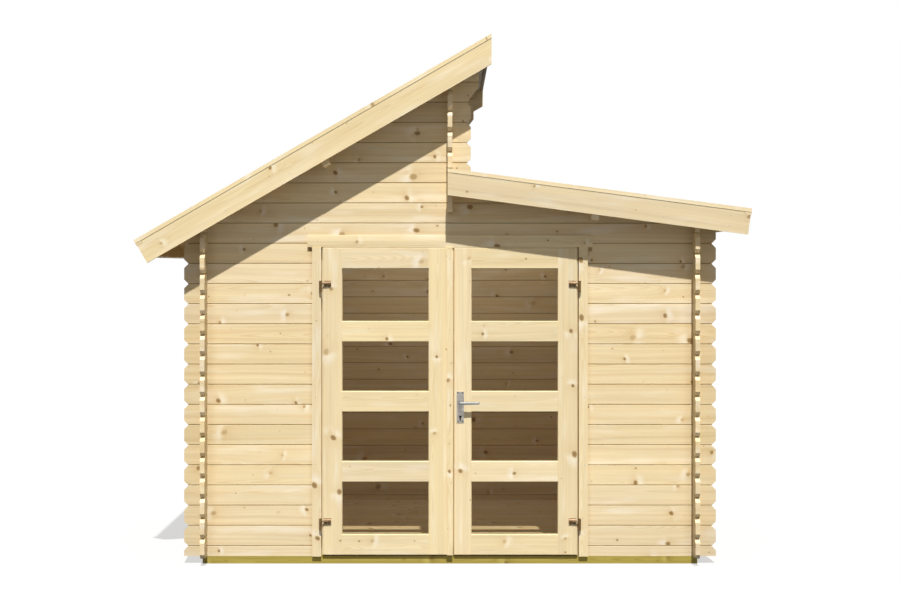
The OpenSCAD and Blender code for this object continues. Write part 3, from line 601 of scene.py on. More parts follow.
def shell(upper, lower):
    """A closed solid between two grids of points: both grids, and a wall round their edge."""
    rows, columns = upper.shape[:2]
    number = np.arange(rows * columns).reshape(rows, columns)
    rim = np.concatenate([number[0, :-1], number[:-1, -1], number[-1, :0:-1], number[:0:-1, 0]])
    after = np.roll(rim, -1)
    total = rows * columns
    wall = np.stack([rim, rim + total, after + total, after], 1)
    faces = grid_quads(rows, columns)
    quads = np.concatenate([faces, faces[:, ::-1] + total, wall])
    points = np.concatenate([upper.reshape(-1, 3), lower.reshape(-1, 3)])
    return outward(Shape(points, quads, NO_TRIANGLES))


def lathe(profile, segments, relief=None, edge=1.0):
    """A closed solid of revolution about Z: rows of radius and height, from pole to pole.

    relief, a function of radius and angle, is added to the height of every point; edge, a
    number for each angle, stretches the radii.
    """
    profile = np.asarray(profile)
    turn = np.arange(segments) * 2 * np.pi / segments
    radius, angle = np.broadcast_arrays(profile[1:-1, 0, None] * edge, turn)
    height = profile[1:-1, 1, None] + (relief(radius, angle) if relief else 0 * radius)
    rings = np.stack([radius * np.cos(angle), radius * np.sin(angle), height], 2)
    top = profile[-1, 1] + (relief(np.zeros(1), np.zeros(1))[0] if relief else 0)
    poles = np.array([[0, 0, profile[0, 1]], [0, 0, top]])
    rows = len(profile) - 2
    number = np.arange(rows * segments).reshape(rows, segments)
    after = np.roll(number, -1, 1)
    quads = np.stack([number[:-1], after[:-1], after[1:], number[1:]], 2).reshape(-1, 4)
    bottom_pole = np.full(segments, rows * segments)
    below = np.stack([after[0], number[0], bottom_pole], 1)
    above = np.stack([number[-1], after[-1], bottom_pole + 1], 1)
    points = np.concatenate([rings.reshape(-1, 3), poles])
    return outward(Shape(points, quads, np.concatenate([below, above])))


def outward(shape):
    """The shape with its faces turned outwards, by the sign of the volume that they enclose."""
    halves = np.concatenate([shape.quads[:, :3], shape.quads[:, [0, 2, 3]], shape.triangles])
    a, b, c = (shape.points[halves[:, i]] for i in range(3))
    if np.einsum("ij,ij->", a, np.cross(b, c)) > 0:
        return shape
    return Shape(shape.points, shape.quads[:, ::-1], shape.triangles[:, ::-1])


def repeat(shape, places, normals, spins=None):
    """Copies of a shape at places, each with its Z along a normal and spun about it."""
    places, normals = np.broadcast_arrays(np.asarray(places, float), np.asarray(normals, float))
    helper = np.where(np.abs(normals[:, 2:]) < 0.9, Z, X)
    side = np.cross(helper, normals)
    side /= np.linalg.norm(side, axis=1, keepdims=True)
    up = np.cross(normals, side)
    angle = (np.zeros(len(places)) if spins is None else spins)[:, None]
    turned = side * np.cos(angle) + up * np.sin(angle)
    across = np.cross(normals, turned)
    axes = np.stack([turned, across, normals], 1)
    points = np.einsum("pk,nkj->npj", shape.points, axes) + places[:, None]
    step = np.arange(len(places))[:, None, None] * len(shape.points)
    quads = (shape.quads + step).reshape(-1, 4)
    return Shape(points.reshape(-1, 3), quads, (shape.triangles + step).reshape(-1, 3))


def join(shapes):
    """Several shapes as one."""
    starts = np.cumsum([0] + [len(shape.points) for shape in shapes[:-1]])
    return Shape(
        np.concatenate([shape.points for shape in shapes]),
        np.concatenate([shape.quads + start for shape, start in zip(shapes, starts)]),
        np.concatenate([shape.triangles + start for shape, start in zip(shapes, starts)]),
    )


def put(name, data):
    """A new object in the scene."""
    obj = bpy.data.objects.new(name, data)
    bpy.context.scene.collection.objects.link(obj)
    return obj


def piece(name, shape, body, material, smooth=False):
    """A finished piece that moves with a CAD body."""
    mesh = bpy.data.meshes.new(name)
    mesh.from_pydata(shape.points, [], [*shape.quads.tolist(), *shape.triangles.tolist()])
    mesh.polygons.foreach_set("use_smooth", np.full(len(mesh.polygons), smooth))
    mesh.materials.append(material)
    mesh.update()
    obj = put(name, mesh)
    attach(obj, body)


def evenly(low, high, pitch):
    """Places from low to high, evenly spaced, as near to a pitch as they go."""
    return np.linspace(low, high, max(2, int(round((high - low) / pitch)) + 1))


def spaced(node, direction, pitch, margin, low_margin=None):
    """Even places along a CAD node, a margin short of its ends; the low end may have its own."""
    low, high = span(node, direction)
    first = low + (margin if low_margin is None else low_margin)
    return evenly(first, high - margin, pitch)[:, None] * direction


# Where rays for nails and screws start, well outside the house, the most that a screw is turned,
# in radians, and how far a nail may lie from its even place along a board
OUTSIDE = 2
MOST_TURN = 1.5
STRAY = 0.003


def drive(name, body, head, rows, material, seed=None):
    """Copies of a head where rays land on CAD nodes, as one piece; a seed turns each at random.

    A row is a node, the places where its rays start, and their direction.
    """
    spots, normals = (np.concatenate(part) for part in zip(*(landing(*line) for line in rows)))
    spins = None if seed is None else np.random.default_rng(seed).uniform(0, MOST_TURN, len(spots))
    piece(name, repeat(head, spots, normals, spins), body, material, True)


def nail_head(diameter, rise):
    """A low domed head: the height falls from rise to nothing as the square of the radius."""
    reach = np.array([0, 1, 1, 0.7, 0.35, 0]) * diameter / 2
    height = np.array([-0.5, -0.5, 0.35, 0.75, 0.95, 1]) * rise
    return lathe(np.stack([reach, height], 1), 10)


def screw_head(diameter, rise):
    """A raised countersunk head with a cross recess, deepest in the middle."""
    radius = diameter / 2

    def recess(reach, angle):
        x, y = reach * np.cos(angle), reach * np.sin(angle)
        arm = np.clip(2 - np.minimum(abs(x), abs(y)) / (0.07 * diameter), 0, 1)
        return -rise * 1.1 * arm * np.clip(1.6 - reach / radius * 2.6, 0, 1)

    dome = np.linspace(0.95, 0, 12)
    height = rise * np.array([-0.6, -0.6, 0, *(1 - dome**2)])
    return lathe(np.stack([np.array([0, 1, 1, *dome]) * radius, height], 1), 32, recess)


def lock_end(barrel, web, drop, depth):
    """One end of a lock cylinder: a round barrel over a narrow web, with a keyway in its face.

    Seen from the barrel's middle the outline lies at the barrel's radius, or where the web reaches
    further: its side at half the web's width over the sine of the angle off straight down, and its
    round end at drop * cosine + root((width / 2)^2 - (drop * sine)^2).
    """
    turn = np.arange(72) * 2 * np.pi / 72
    off = np.arctan2(abs(np.cos(turn)), -np.sin(turn))
    side = web / 2 / np.maximum(np.sin(off), 0.01)
    end = drop * np.cos(off) + np.sqrt(np.maximum(0, (web / 2) ** 2 - (drop * np.sin(off)) ** 2))
    edge = np.maximum(barrel / 2, np.minimum(side, end) * (off < np.pi / 2))

    def keyway(reach, angle):
        x, y = reach * np.cos(angle), reach * np.sin(angle)
        slot = np.clip(2 - abs(x) / 0.0007, 0, 1) * np.clip(2 - abs(y) / (barrel * 0.2), 0, 1)
        ring = np.exp(-(((reach - barrel * 0.39) / 0.0004) ** 2)) * (reach < barrel * 0.47)
        return -0.003 * slot - 0.0005 * ring

    rings = np.array([0, 1, 1, 0.97, *np.linspace(0.92, 0, 16)])
    height = np.zeros(len(rings))
    height[:2] = -depth
    height[2] = -0.0004
    return lathe(np.stack([rings, height], 1), 72, keyway, edge)


def strip(start, end, across, rise, width):
    """A rounded strip between two places: its height is rise * (1 - 0.4 * v^8), v from -1 to 1."""
    way = np.linspace(0, 1, 25)[:, None, None]
    v = np.linspace(-1, 1, 9)[None, :, None]
    base = np.asarray(start) * (1 - way) + np.asarray(end) * way + v * width / 2 * across
    return shell(base + (1 - 0.4 * v**8) * rise, base - 0.02 * np.asarray(rise))


def block(size, middle_place, crown):
    """A plate with a crowned face to +Y: its thickness falls as the fourth powers of u and v."""
    u = np.linspace(-1, 1, 13)[:, None]
    v = np.linspace(-1, 1, 13)[None, :]
    face = size[1] - crown * np.maximum(u**4, v**4) + 0 * u * v
    flat = middle_place + u[..., None] * size[0] / 2 * X + v[..., None] * size[2] / 2 * Z
    return shell(flat + face[..., None] * Y, flat)


# ---------- Operators ----------


class FinishTimber(bpy.types.Operator):
    """Paint every timber part as spruce boards that follow its construction"""

    bl_idname = "garden_house.finish_timber"
    bl_label = "Finish timber"

    def execute(self, context):
        timber = context.scene.garden_house_timber
        group = spruce_group(timber)
        plain = (timber.early_wood, timber.late_wood)
        joinery = (timber.joinery_early, timber.joinery_late)

        def paint(boards, *nodes, shades=plain, **options):
            finish(spruce(nodes[0] + "_spruce", group, boards, shades, **options), *nodes)

        log = timber.log_height
        depth = abs(middle("front_wall_left", Y))
        walls = Boards(X, Z, Y, BEAM_TOP + log / 2, log, log, depth, True, 0)
        paint(walls, "front_wall_left", "front_wall_right", "front_wall_top", "front_gable",
              "back_wall", "back_wall_top", "back_gable", grooved=1.0, dim=self.crossing_shade(timber))
        side = abs(middle("left_wall", X))
        sides = Boards(Y, Z, X, BEAM_TOP, log, log, side, True, 100)
        paint(sides, "left_wall", "right_wall", grooved=1.0, dim=self.inner_sides(timber))
        paint(Boards(Y, Z, X, BEAM_TOP, log, log, 0, False, 200), "step_wall", grooved=1.0)
        floor = row("floor", X, Y, Z, FLOOR_BOARD, span("floor", Y)[0], 300)
        paint(floor, "floor", grooved=0.6)
        for seed, (roof, (down, normal)) in zip((400, 500), ROOFS.items()):
            deck = roof + "_roof_deck"
            shaded = self.open_edge(timber) if roof == "upper" else None
            boards = row(deck, down, Y, normal, ROOF_BOARD, 0, seed)
            paint(boards, deck, grooved=0.6, dim=shaded, gloss=0.1)
            for part in ("purlin", "eave_board", "eave_lath"):
                node = f"{roof}_{part}"
                paint(single(node, Y, normal, down, seed + len(part)), node)
            front = roof + "_barge_front"
            barge = single(front, down, normal, Y, seed + 60, True)
            tone = timber.lower_tone if roof == "lower" else 1
            toned = [[v * tone for v in shade] for shade in joinery]
            shaded = self.strip_shadow(timber, span(front, normal)[1], normal)
            paint(barge, front, roof + "_barge_back", shades=toned, dim=shaded)
            strips = roof + "_verge_strips"
            gap = 2 * span(strips, Y)[1] - VERGE_STRIP
            boards = row(strips, down, Y, normal, gap, -gap, seed + 70, VERGE_STRIP)
            paint(boards, strips, shades=joinery)
        edge_board = single("high_edge_board", Y, Z, X, 600)
        # Painted shade on the high edge board's faces that look down and towards -X
        soffit_edge_shade = self.facing_shade((-0.8, 0, -0.6), 0.3, 0.6, 1 - timber.soffit_shade_tone)
        paint(edge_board, "high_edge_board", dim=soffit_edge_shade, gloss=0.05)
        apart = middle("door_jamb_right", X) - middle("door_jamb_left", X)
        jambs = row("door_jamb_left", Z, X, Y, apart, -apart, 610, JAMB_BOARD)
        paint(jambs, "door_jamb_left", "door_jamb_right", shades=joinery)
        # Painted shade on the up-facing tops of the door frame
        ledge = self.facing_shade(Z, 0.6, 0.95, timber.ledge_shade_tone)
        for seed, node in enumerate(("door_head", "door_head_casing", "door_sill")):
            paint(single(node, X, Z, Y, 620 + seed), node, shades=joinery, dim=ledge)
        paint(single("meeting_strip", Z, X, Y, 630), "meeting_strip", shades=joinery)
        for seed, leaf in ((640, "left_leaf"), (660, "right_leaf")):
            self.paint_leaf(paint, leaf, seed, timber.glass_lap, joinery)
        return {"FINISHED"}

    def crossing_shade(self, timber):
        """Painted shade where walls cross and beside the door jambs: darker wood past the side
        walls' inner faces.
        """
        inner = span("right_wall", X)[0]
        jamb = span("door_jamb_right", X)[1]
        head = span("door_head_casing", Z)[0]

        def dim(place, facing):
            x, y, z = place.parts()
            x = abs(x)
            corner = x.ramp(inner - 0.07, inner - 0.005) * timber.corner_shade_tone
            beside = x.ramp(jamb + 0.03, jamb) * x.ramp(jamb - 0.03, jamb)
            beside = beside * z.ramp(head + 0.001, head) * y.math("LESS_THAN", y, 0.0)
            return (1 - corner) * (1 - beside * timber.corner_shade_tone)

        return dim

    def inner_sides(self, timber):
        """Painted shade: darker sides, facing the middle of the house, on the log ends outside the
        walls.
        """
        outside = abs(span("front_wall_left", Y)[0])

        def dim(place, facing):
            x, y, _ = place.parts()
            inward = facing.dot(X) * x.math("SIGN", x)
            past = abs(y).ramp(outside - 0.002, outside + 0.004)
            return 1 - past * inward.ramp(-0.5, -0.9) * timber.inner_side_shade_tone

        return dim

    def open_edge(self, timber):
        """Painted shade: darker boards, on faces looking down, under the high roof's part past the
        step wall.
        """
        wall = span("step_wall", X)[1]

        def dim(place, facing):
            past = place.dot(X).ramp(wall - 0.02, wall + 0.05)
            return 1 - past * facing.dot(Z).ramp(-0.3, -0.7) * (1 - timber.soffit_shade_tone)

        return dim

    def strip_shadow(self, timber, top, normal):
        """Painted shadow: a darker line along the top of a barge board, right under the verge
        strip.
        """
        tone, low, high = timber.strip_shadow_tone, top - 0.006, top - 0.002
        return lambda place, facing: 1 - place.dot(normal).ramp(low, high) * tone

    def facing_shade(self, direction, low, high, tone):
        """Painted shade: darker wood on faces that look along a direction, from a low cosine on to
        a high one.
        """
        return lambda place, facing: 1 - facing.dot(direction).ramp(low, high) * tone

    def paint_leaf(self, paint, leaf, seed, lap, joinery):
        """Stiles with upright grain, and rails and cross beads with level grain between them."""
        low, high = span(leaf + "_frame", X)
        bottom, top = span(leaf + "_frame", Z)
        glass_low, glass_high = span(leaf + "_glass", X)
        pane_low, pane_high = glass_low + lap, glass_high - lap
        first = (low + pane_low) / 2
        apart = (pane_high + high) / 2 - first
        rail = span(leaf + "_glass", Z)[0] + lap - bottom
        pitch = (top - bottom - rail) / PANES
        level = row(leaf + "_frame", X, Z, Y, pitch, bottom + rail / 2 - pitch / 2, seed + 9, rail)
        upright = row(leaf + "_frame", Z, X, Y, apart, first - apart / 2, seed, pane_low - low)
        paint(upright, leaf + "_frame", shades=joinery, rails=(level, pane_low, pane_high))
        mitre = 0.002
        rails = (level, pane_low + mitre, pane_high - mitre)
        paint(upright._replace(seed=seed + 5), leaf + "_beads", shades=joinery, rails=rails)


class FinishBase(bpy.types.Operator):
    """Paint the ground beams as green pressure-treated timber"""

    bl_idname = "garden_house.finish_base"
    bl_label = "Finish base"

    def execute(self, context):
        timber = context.scene.garden_house_timber
        group = bpy.data.node_groups["Spruce"]
        shades = (timber.treated_early, timber.treated_late)
        long_beams = single("base_beam_front", X, Z, Y, 700, True)
        treated = spruce("treated_beams", group, long_beams, shades)
        finish(treated, "base_beam_front", "base_beam_back")
        low, high = span("base_cross_beams", X)
        width = timber.beam_width
        pitch = (high - low - width) / (CROSS_BEAMS - 1)
        beams = row("base_cross_beams", Y, X, Z, pitch, low + width / 2 - pitch / 2, 710, width)
        finish(spruce("treated_cross_beams", group, beams, shades), "base_cross_beams")
        return {"FINISHED"}


class FinishFittings(bpy.types.Operator):
    """Finish the glass, the hinges, the handle and its plates"""

    bl_idname = "garden_house.finish_fittings"
    bl_label = "Finish fittings"

    def execute(self, context):
        fittings = context.scene.garden_house_fittings
        finish(pane_glass("window_glass", fittings.glass), "left_leaf_glass", "right_leaf_glass")
        hinge = metal("hinge_steel", fittings.hinge, 0.4, 0.0012, 0.35)
        finish(hinge, "hinge_pins", "left_leaf_hinges", "right_leaf_hinges")
        finish(metal("handle_metal", fittings.handle, 0.6, 0.0008), "door_handle")
        finish(metal("plate_metal", fittings.plate, 0.55, 0.0012), "lock_plates")
        metal("nail_zinc", fittings.nail, 0.42, 0.0006)
        metal("screw_steel", fittings.screw, 0.4, 0.0006)
        return {"FINISHED"}


class FitLock(bpy.types.Operator):
    """Set the lock in its keyhole and a screw in each corner of the lock plates"""

    bl_idname = "garden_house.fit_lock"
    bl_label = "Fit lock"
    SCREW_RISE = 0.0011

    def execute(self, context):
        fittings = context.scene.garden_house_fittings
        steel = bpy.data.materials["screw_steel"]
        low, high = span("right_leaf_frame", Y)
        faces = np.array([low - fittings.lock_plate, high + fittings.lock_plate])
        joints = {joint["name"]: joint for joint in frame["record"]["behaviour"]["joints"]}
        x, _, z = joints["handle_turn"]["pos_m"]
        sizes = fittings.lock_barrel, fittings.lock_web, fittings.lock_drop
        end = lock_end(*sizes, (high - low) / 2)
        places = [(x, face, z - fittings.lock_below) for face in faces]
        piece("lock_cylinder", repeat(end, places, [-Y, Y]), "right_leaf", steel)
        left, right = span("lock_plates", X)
        bottom, top = span("lock_plates", Z)
        inset = fittings.screw_head
        sides, levels = (left + inset, right - inset), (bottom + inset, top - inset)
        corners = [np.array((side, 0, level)) for side in sides for level in levels]
        rows = [("lock_plates", [at - OUTSIDE * way for at in corners], way) for way in (Y, -Y)]
        head = screw_head(fittings.screw_head, self.SCREW_RISE)
        drive("lock_plate_screws", "right_leaf", head, rows, steel, 21)
        return {"FINISHED"}


class DriveHingeScrews(bpy.types.Operator):
    """Drive two screws through each hinge plate"""

    bl_idname = "garden_house.drive_hinge_screws"
    bl_label = "Drive hinge screws"
    # From a plate's inner end to its screws, from its top down to them, and a head's rise
    REACHES = (0.0105, 0.0325)
    DROP = 0.0255
    SCREW_RISE = 0.0012

    def execute(self, context):
        fittings = context.scene.garden_house_fittings
        steel = bpy.data.materials["screw_steel"]
        head = screw_head(fittings.screw_head, self.SCREW_RISE)
        for leaf, inward in (("left_leaf", 1), ("right_leaf", -1)):
            node = leaf + "_hinges"
            inner = span(node, X)[(1 + inward) // 2]
            top = span(node, Z)[1]
            apart = self.apart(node)
            starts = [
                (inner - inward * reach, -OUTSIDE, level)
                for reach in self.REACHES
                for level in (top - self.DROP, top - self.DROP - apart)
            ]
            drive(node + "_screws", leaf, head, [(node, starts, Y)], steel, 31)
        return {"FINISHED"}

    def apart(self, node):
        """Height from the lower hinge to the upper: the gap between their points, and one hinge."""
        levels = np.unique(read(frame["nodes"][node].data.vertices, "co", 3)[:, 2])
        split = np.argmax(np.diff(levels))
        return levels[-1] - levels[split]


class FitLips(bpy.types.Operator):
    """Fit narrow wooden lips in the gap over the doors and in the gap between them"""

    bl_idname = "garden_house.fit_lips"
    bl_label = "Fit lips"
    # Width, gap at each end, how far each lies behind the leaves' front, and a place along X
    # that is past the gap between the leaves
    WIDTH = 0.009
    END_GAP = 0.004
    HEAD_DEPTH = 0.0048
    MEETING_DEPTH = 0.0135
    PAST_GAP = 0.03

    def execute(self, context):
        lip = context.scene.garden_house_fittings.lip
        front = span("left_leaf_frame", Y)[0]
        bottom, top = span("left_leaf_frame", Z)
        left, right = span("left_leaf_frame", X)[0], span("right_leaf_frame", X)[1]
        ends = left + self.END_GAP, right - self.END_GAP
        starts = [(x, front + self.HEAD_DEPTH, top + 0.001) for x in ends]
        self.fit("head_lip", "house", "door_head", "door_head_casing", starts, Z, -lip * 1.25 * Z)
        ends = bottom + self.END_GAP, top - self.END_GAP
        starts = [(self.PAST_GAP, front + self.MEETING_DEPTH, z) for z in ends]
        carrier = "left_leaf_frame"
        self.fit("meeting_lip", "left_leaf", "meeting_strip", carrier, starts, -X, lip * X)
        return {"FINISHED"}

    def fit(self, name, body, wood, carrier, starts, direction, rise):
        """A strip on a carrier, between the two places where rays land, in the wood of a node."""
        (start, end), _ = landing(carrier, starts, direction)
        material = bpy.data.materials[wood + "_spruce"]
        piece(name, strip(start, end, Y, rise, self.WIDTH), body, material, True)


class FitBolts(bpy.types.Operator):
    """Fit a slide bolt at the top and at the foot of the left leaf, on its inner face"""

    bl_idname = "garden_house.fit_bolts"
    bl_label = "Fit bolts"
    # From the leaf's edge and ends to a bolt's middle, and the size and crown of its plate
    FROM_EDGE = 0.06
    FROM_END = 0.085
    PLATE = (0.034, 0.002, 0.13)
    CROWN = 0.0008
    # The two guides: their heights on the plate, half their length, their rise and their width
    GUIDES = (-0.045, 0.05)
    GUIDE_REACH = 0.013
    GUIDE_RISE = 0.011
    GUIDE_WIDTH = 0.012
    # Profiles of radius and height, their sides, and where they stand
    SIDES = 20
    ROD_RISE = 0.0072
    KNOB_SHIFT = 0.012
    ROD = (
        (0, -0.075), (0.0044, -0.075), (0.005, -0.074),
        (0.005, 0.074), (0.0044, 0.075), (0, 0.075),
    )
    KNOB = (
        (0, 0), (0.0035, 0), (0.0035, 0.008), (0.006, 0.011),
        (0.0072, 0.015), (0.005, 0.019), (0, 0.02),
    )

    def execute(self, context):
        back = span("left_leaf_frame", Y)[1]
        edge = span("left_leaf_frame", X)[1]
        bottom, top = span("left_leaf_frame", Z)
        shapes = []
        for level, away in ((top - self.FROM_END, -1), (bottom + self.FROM_END, 1)):
            place = np.array([edge - self.FROM_EDGE, back, level])
            shapes.append(block(self.PLATE, place, self.CROWN))
            for offset in self.GUIDES:
                start = place + offset * Z + self.PLATE[1] * Y
                ends = start - self.GUIDE_REACH * X, start + self.GUIDE_REACH * X
                shapes.append(strip(*ends, Z, self.GUIDE_RISE * Y, self.GUIDE_WIDTH))
            axis = place + self.ROD_RISE * Y
            shapes.append(repeat(lathe(self.ROD, self.SIDES), [axis], [Z]))
            knob = axis + away * self.KNOB_SHIFT * Z
            shapes.append(repeat(lathe(self.KNOB, self.SIDES), [knob], [Y]))
        steel = bpy.data.materials["nail_zinc"]
        piece("slide_bolts", join(shapes), "left_leaf", steel)
        return {"FINISHED"}


class DriveNails(bpy.types.Operator):
    """Drive the nails that hold the trim, the door frame and the floor boards"""

    bl_idname = "garden_house.drive_nails"
    bl_label = "Drive nails"
    HEAD_RISE = 0.0004
    # From a board's ends to its first and last nail
    BARGE_ENDS = 0.12
    STRIP_ENDS = 0.05
    BOARD_ENDS = 0.1
    FRAME_ENDS = 0.06
    JAMB_FOOT = 0.15
    # From a barge's middle to its two rows, and from a jamb's outer side to its nails
    BESIDE_MIDDLE = 0.03
    JAMB_INSET = 0.02
    # How far over the strips and past an eave the rays start
    OVER_STRIPS = 2.6
    PAST_EAVE = 0.5
    # From the outer side of the first cross beam to its middle, from the floor's back edge to
    # the nearest nail at least, and how far over the floor the rays start
    BEAM_MIDDLE = 0.03
    FLOOR_END = 0.02
    OVER_FLOOR = 0.1

    def execute(self, context):
        fittings = context.scene.garden_house_fittings
        zinc = bpy.data.materials["nail_zinc"]
        head = nail_head(fittings.nail_head, self.HEAD_RISE)
        random = np.random.default_rng(41)
        pitch = fittings.nail_pitch
        levels = spaced("meeting_strip", Z, pitch, self.FRAME_ENDS)
        strip_row = ("meeting_strip", middle("meeting_strip", X) * X - OUTSIDE * Y + levels, Z, Y)
        for name, body, rows in (
            ("trim_nails", "house", self.trim(pitch)),
            ("frame_nails", "house", self.frame_rows(pitch)),
            ("floor_nails", "house", self.floor()),
            ("meeting_strip_nails", "left_leaf", [strip_row]),
        ):
            strayed = [
                (node, starts + random.uniform(-STRAY, STRAY, (len(starts), 1)) * along, direction)
                for node, starts, along, direction in rows
            ]
            drive(name, body, head, strayed, zinc)
        return {"FINISHED"}

    def trim(self, pitch):
        """Nails in the barges, verge strips, eave boards and the high edge board."""
        rows = []
        for roof, (down, normal) in ROOFS.items():
            for end, facing in (("front", Y), ("back", -Y)):
                barge = f"{roof}_barge_{end}"
                places = spaced(barge, down, pitch, self.BARGE_ENDS) - OUTSIDE * facing
                for side in (-self.BESIDE_MIDDLE, self.BESIDE_MIDDLE):
                    level = (middle(barge, normal) + side) * normal
                    rows.append((barge, places + level, down, facing))
            strips = roof + "_verge_strips"
            outer = span(strips, Y)[1] - VERGE_STRIP / 2
            places = spaced(strips, down, pitch * 0.75, self.STRIP_ENDS)
            for side in (-outer, outer):
                above = places + self.OVER_STRIPS * normal + side * Y
                rows.append((strips, above, down, -normal))
            board = roof + "_eave_board"
            past = (span(board, down)[1] + self.PAST_EAVE) * down
            places = spaced(board, Y, pitch, self.BOARD_ENDS)
            rows.append((board, places + past + middle(board, normal) * normal, Y, -down))
        places = spaced("high_edge_board", Y, pitch, self.BOARD_ENDS) + OUTSIDE * X
        rows.append(("high_edge_board", places + middle("high_edge_board", Z) * Z, Y, -X))
        return rows

    def frame_rows(self, pitch):
        """Nails down both jambs and along the casing over the door."""
        rows = []
        for jamb in ("door_jamb_left", "door_jamb_right"):
            outer = max(span(jamb, X), key=abs)
            inward = outer - np.sign(outer) * self.JAMB_INSET
            places = spaced(jamb, Z, pitch, self.BOARD_ENDS, self.JAMB_FOOT)
            places = places + inward * X - OUTSIDE * Y
            rows.append((jamb, places, Z, Y))
        places = spaced("door_head_casing", X, pitch, self.FRAME_ENDS) - OUTSIDE * Y
        rows.append(("door_head_casing", places + middle("door_head_casing", Z) * Z, X, Y))
        return rows

    def floor(self):
        """Two nails through each floor board into each inner cross beam.

        They lie a quarter of a board from its edges. The foremost, under the sill, is left out.
        """
        low, high = span("floor", Y)
        left, right = span("base_cross_beams", X)
        beams = np.linspace(left + self.BEAM_MIDDLE, right - self.BEAM_MIDDLE, CROSS_BEAMS)[1:-1]
        first = low + FLOOR_BOARD / 4 + FLOOR_BOARD / 2
        boards = np.arange(first, high - self.FLOOR_END, FLOOR_BOARD / 2)
        level = span("floor", Z)[1] + self.OVER_FLOOR
        return [("floor", beam * X + boards[:, None] * Y + level * Z, X, -Z) for beam in beams]


class LayFelt(bpy.types.Operator):
    """Lay the courses of roofing felt and their nails on both roofs"""

    bl_idname = "garden_house.lay_felt"
    bl_label = "Lay felt"
    CLOUT_RISE = 0.0012
    # A sheet's lap over the one below, how far the last one stops short of the roof's top, and
    # the least course that is laid
    LAP = 0.02
    SHORT_OF_TOP = 0.012
    LEAST_COURSE = 0.15
    # A sheet's lift off the roof's own felt, its sink into it, the spread of its lower edge's
    # wander, and the height of its ripple
    LIFT = 0.0004
    SINK = 0.0008
    WANDER = 0.0012
    RIPPLE = 0.0005
    # From a sheet's ends to its nails, how far they stray, and how far they lie up from its edge
    NAIL_INSET = 0.03
    NAIL_STRAY = 0.008
    NAILS_UP = (0.026, 0.034)

    def execute(self, context):
        roof = context.scene.garden_house_roof
        felt = roofing_felt("mineral_felt", roof)
        finish(felt, "upper_roof_felt", "lower_roof_felt")
        zinc = bpy.data.materials["nail_zinc"]
        head = nail_head(roof.clout_head, self.CLOUT_RISE)
        for seed, (name, (down, normal)) in zip((3, 4), ROOFS.items()):
            courses, nails = self.courses(roof, name, down, normal, np.random.default_rng(seed))
            piece(name + "_felt_courses", join(courses), "house", felt)
            spots = np.concatenate(nails)
            piece(name + "_clouts", repeat(head, spots, normal), "house", zinc, True)
        return {"FINISHED"}

    def courses(self, roof, name, down, normal, random):
        """Sheets from the eave up, each lapped over the one below it, and nails along each lap.

        A sheet's top is thickest at its lower edge and thins up the slope to nothing, with a slow
        ripple: thickness = edge * (1 - share up the course) + ripple.
        """
        top = span(name + "_roof_felt", normal)[1]
        high, low = span(name + "_roof_felt", down)
        reach = span(name + "_verge_strips", Y)[1] - VERGE_STRIP
        across = np.linspace(-reach, reach, 61)
        sheets, nails = [], []
        for edge in np.arange(low, high + self.LEAST_COURSE, -roof.course):
            upper_end = max(edge - roof.course - self.LAP, high + self.SHORT_OF_TOP)
            up = np.linspace(0, 1, 13)[:, None]
            strays = random.normal(0, self.WANDER, 9)
            wander = np.interp(across, np.linspace(-reach, reach, 9), strays)
            place = edge - 0.001 - (edge - upper_end) * up + wander * (1 - up) * (edge != low)
            ripple = self.RIPPLE * np.sin(across * 9 + edge * 5) * np.sin(up * 7 + across * 3)
            rise = top + roof.felt_edge * (1 - up) + self.LIFT + ripple * (1 - up)
            points = place[..., None] * down + rise[..., None] * normal + across[:, None] * Y
            sheets.append(shell(points, points - (rise - top + self.SINK)[..., None] * normal))
            if edge != low:
                spots = evenly(-reach + self.NAIL_INSET, reach - self.NAIL_INSET, roof.clout_pitch)
                spots = spots + random.uniform(-self.NAIL_STRAY, self.NAIL_STRAY, len(spots))
                back = random.uniform(*self.NAILS_UP, len(spots))[:, None]
                level = top + roof.felt_edge * 0.97
                nails.append((edge - back) * down + level * normal + spots[:, None] * Y)
        return sheets, nails


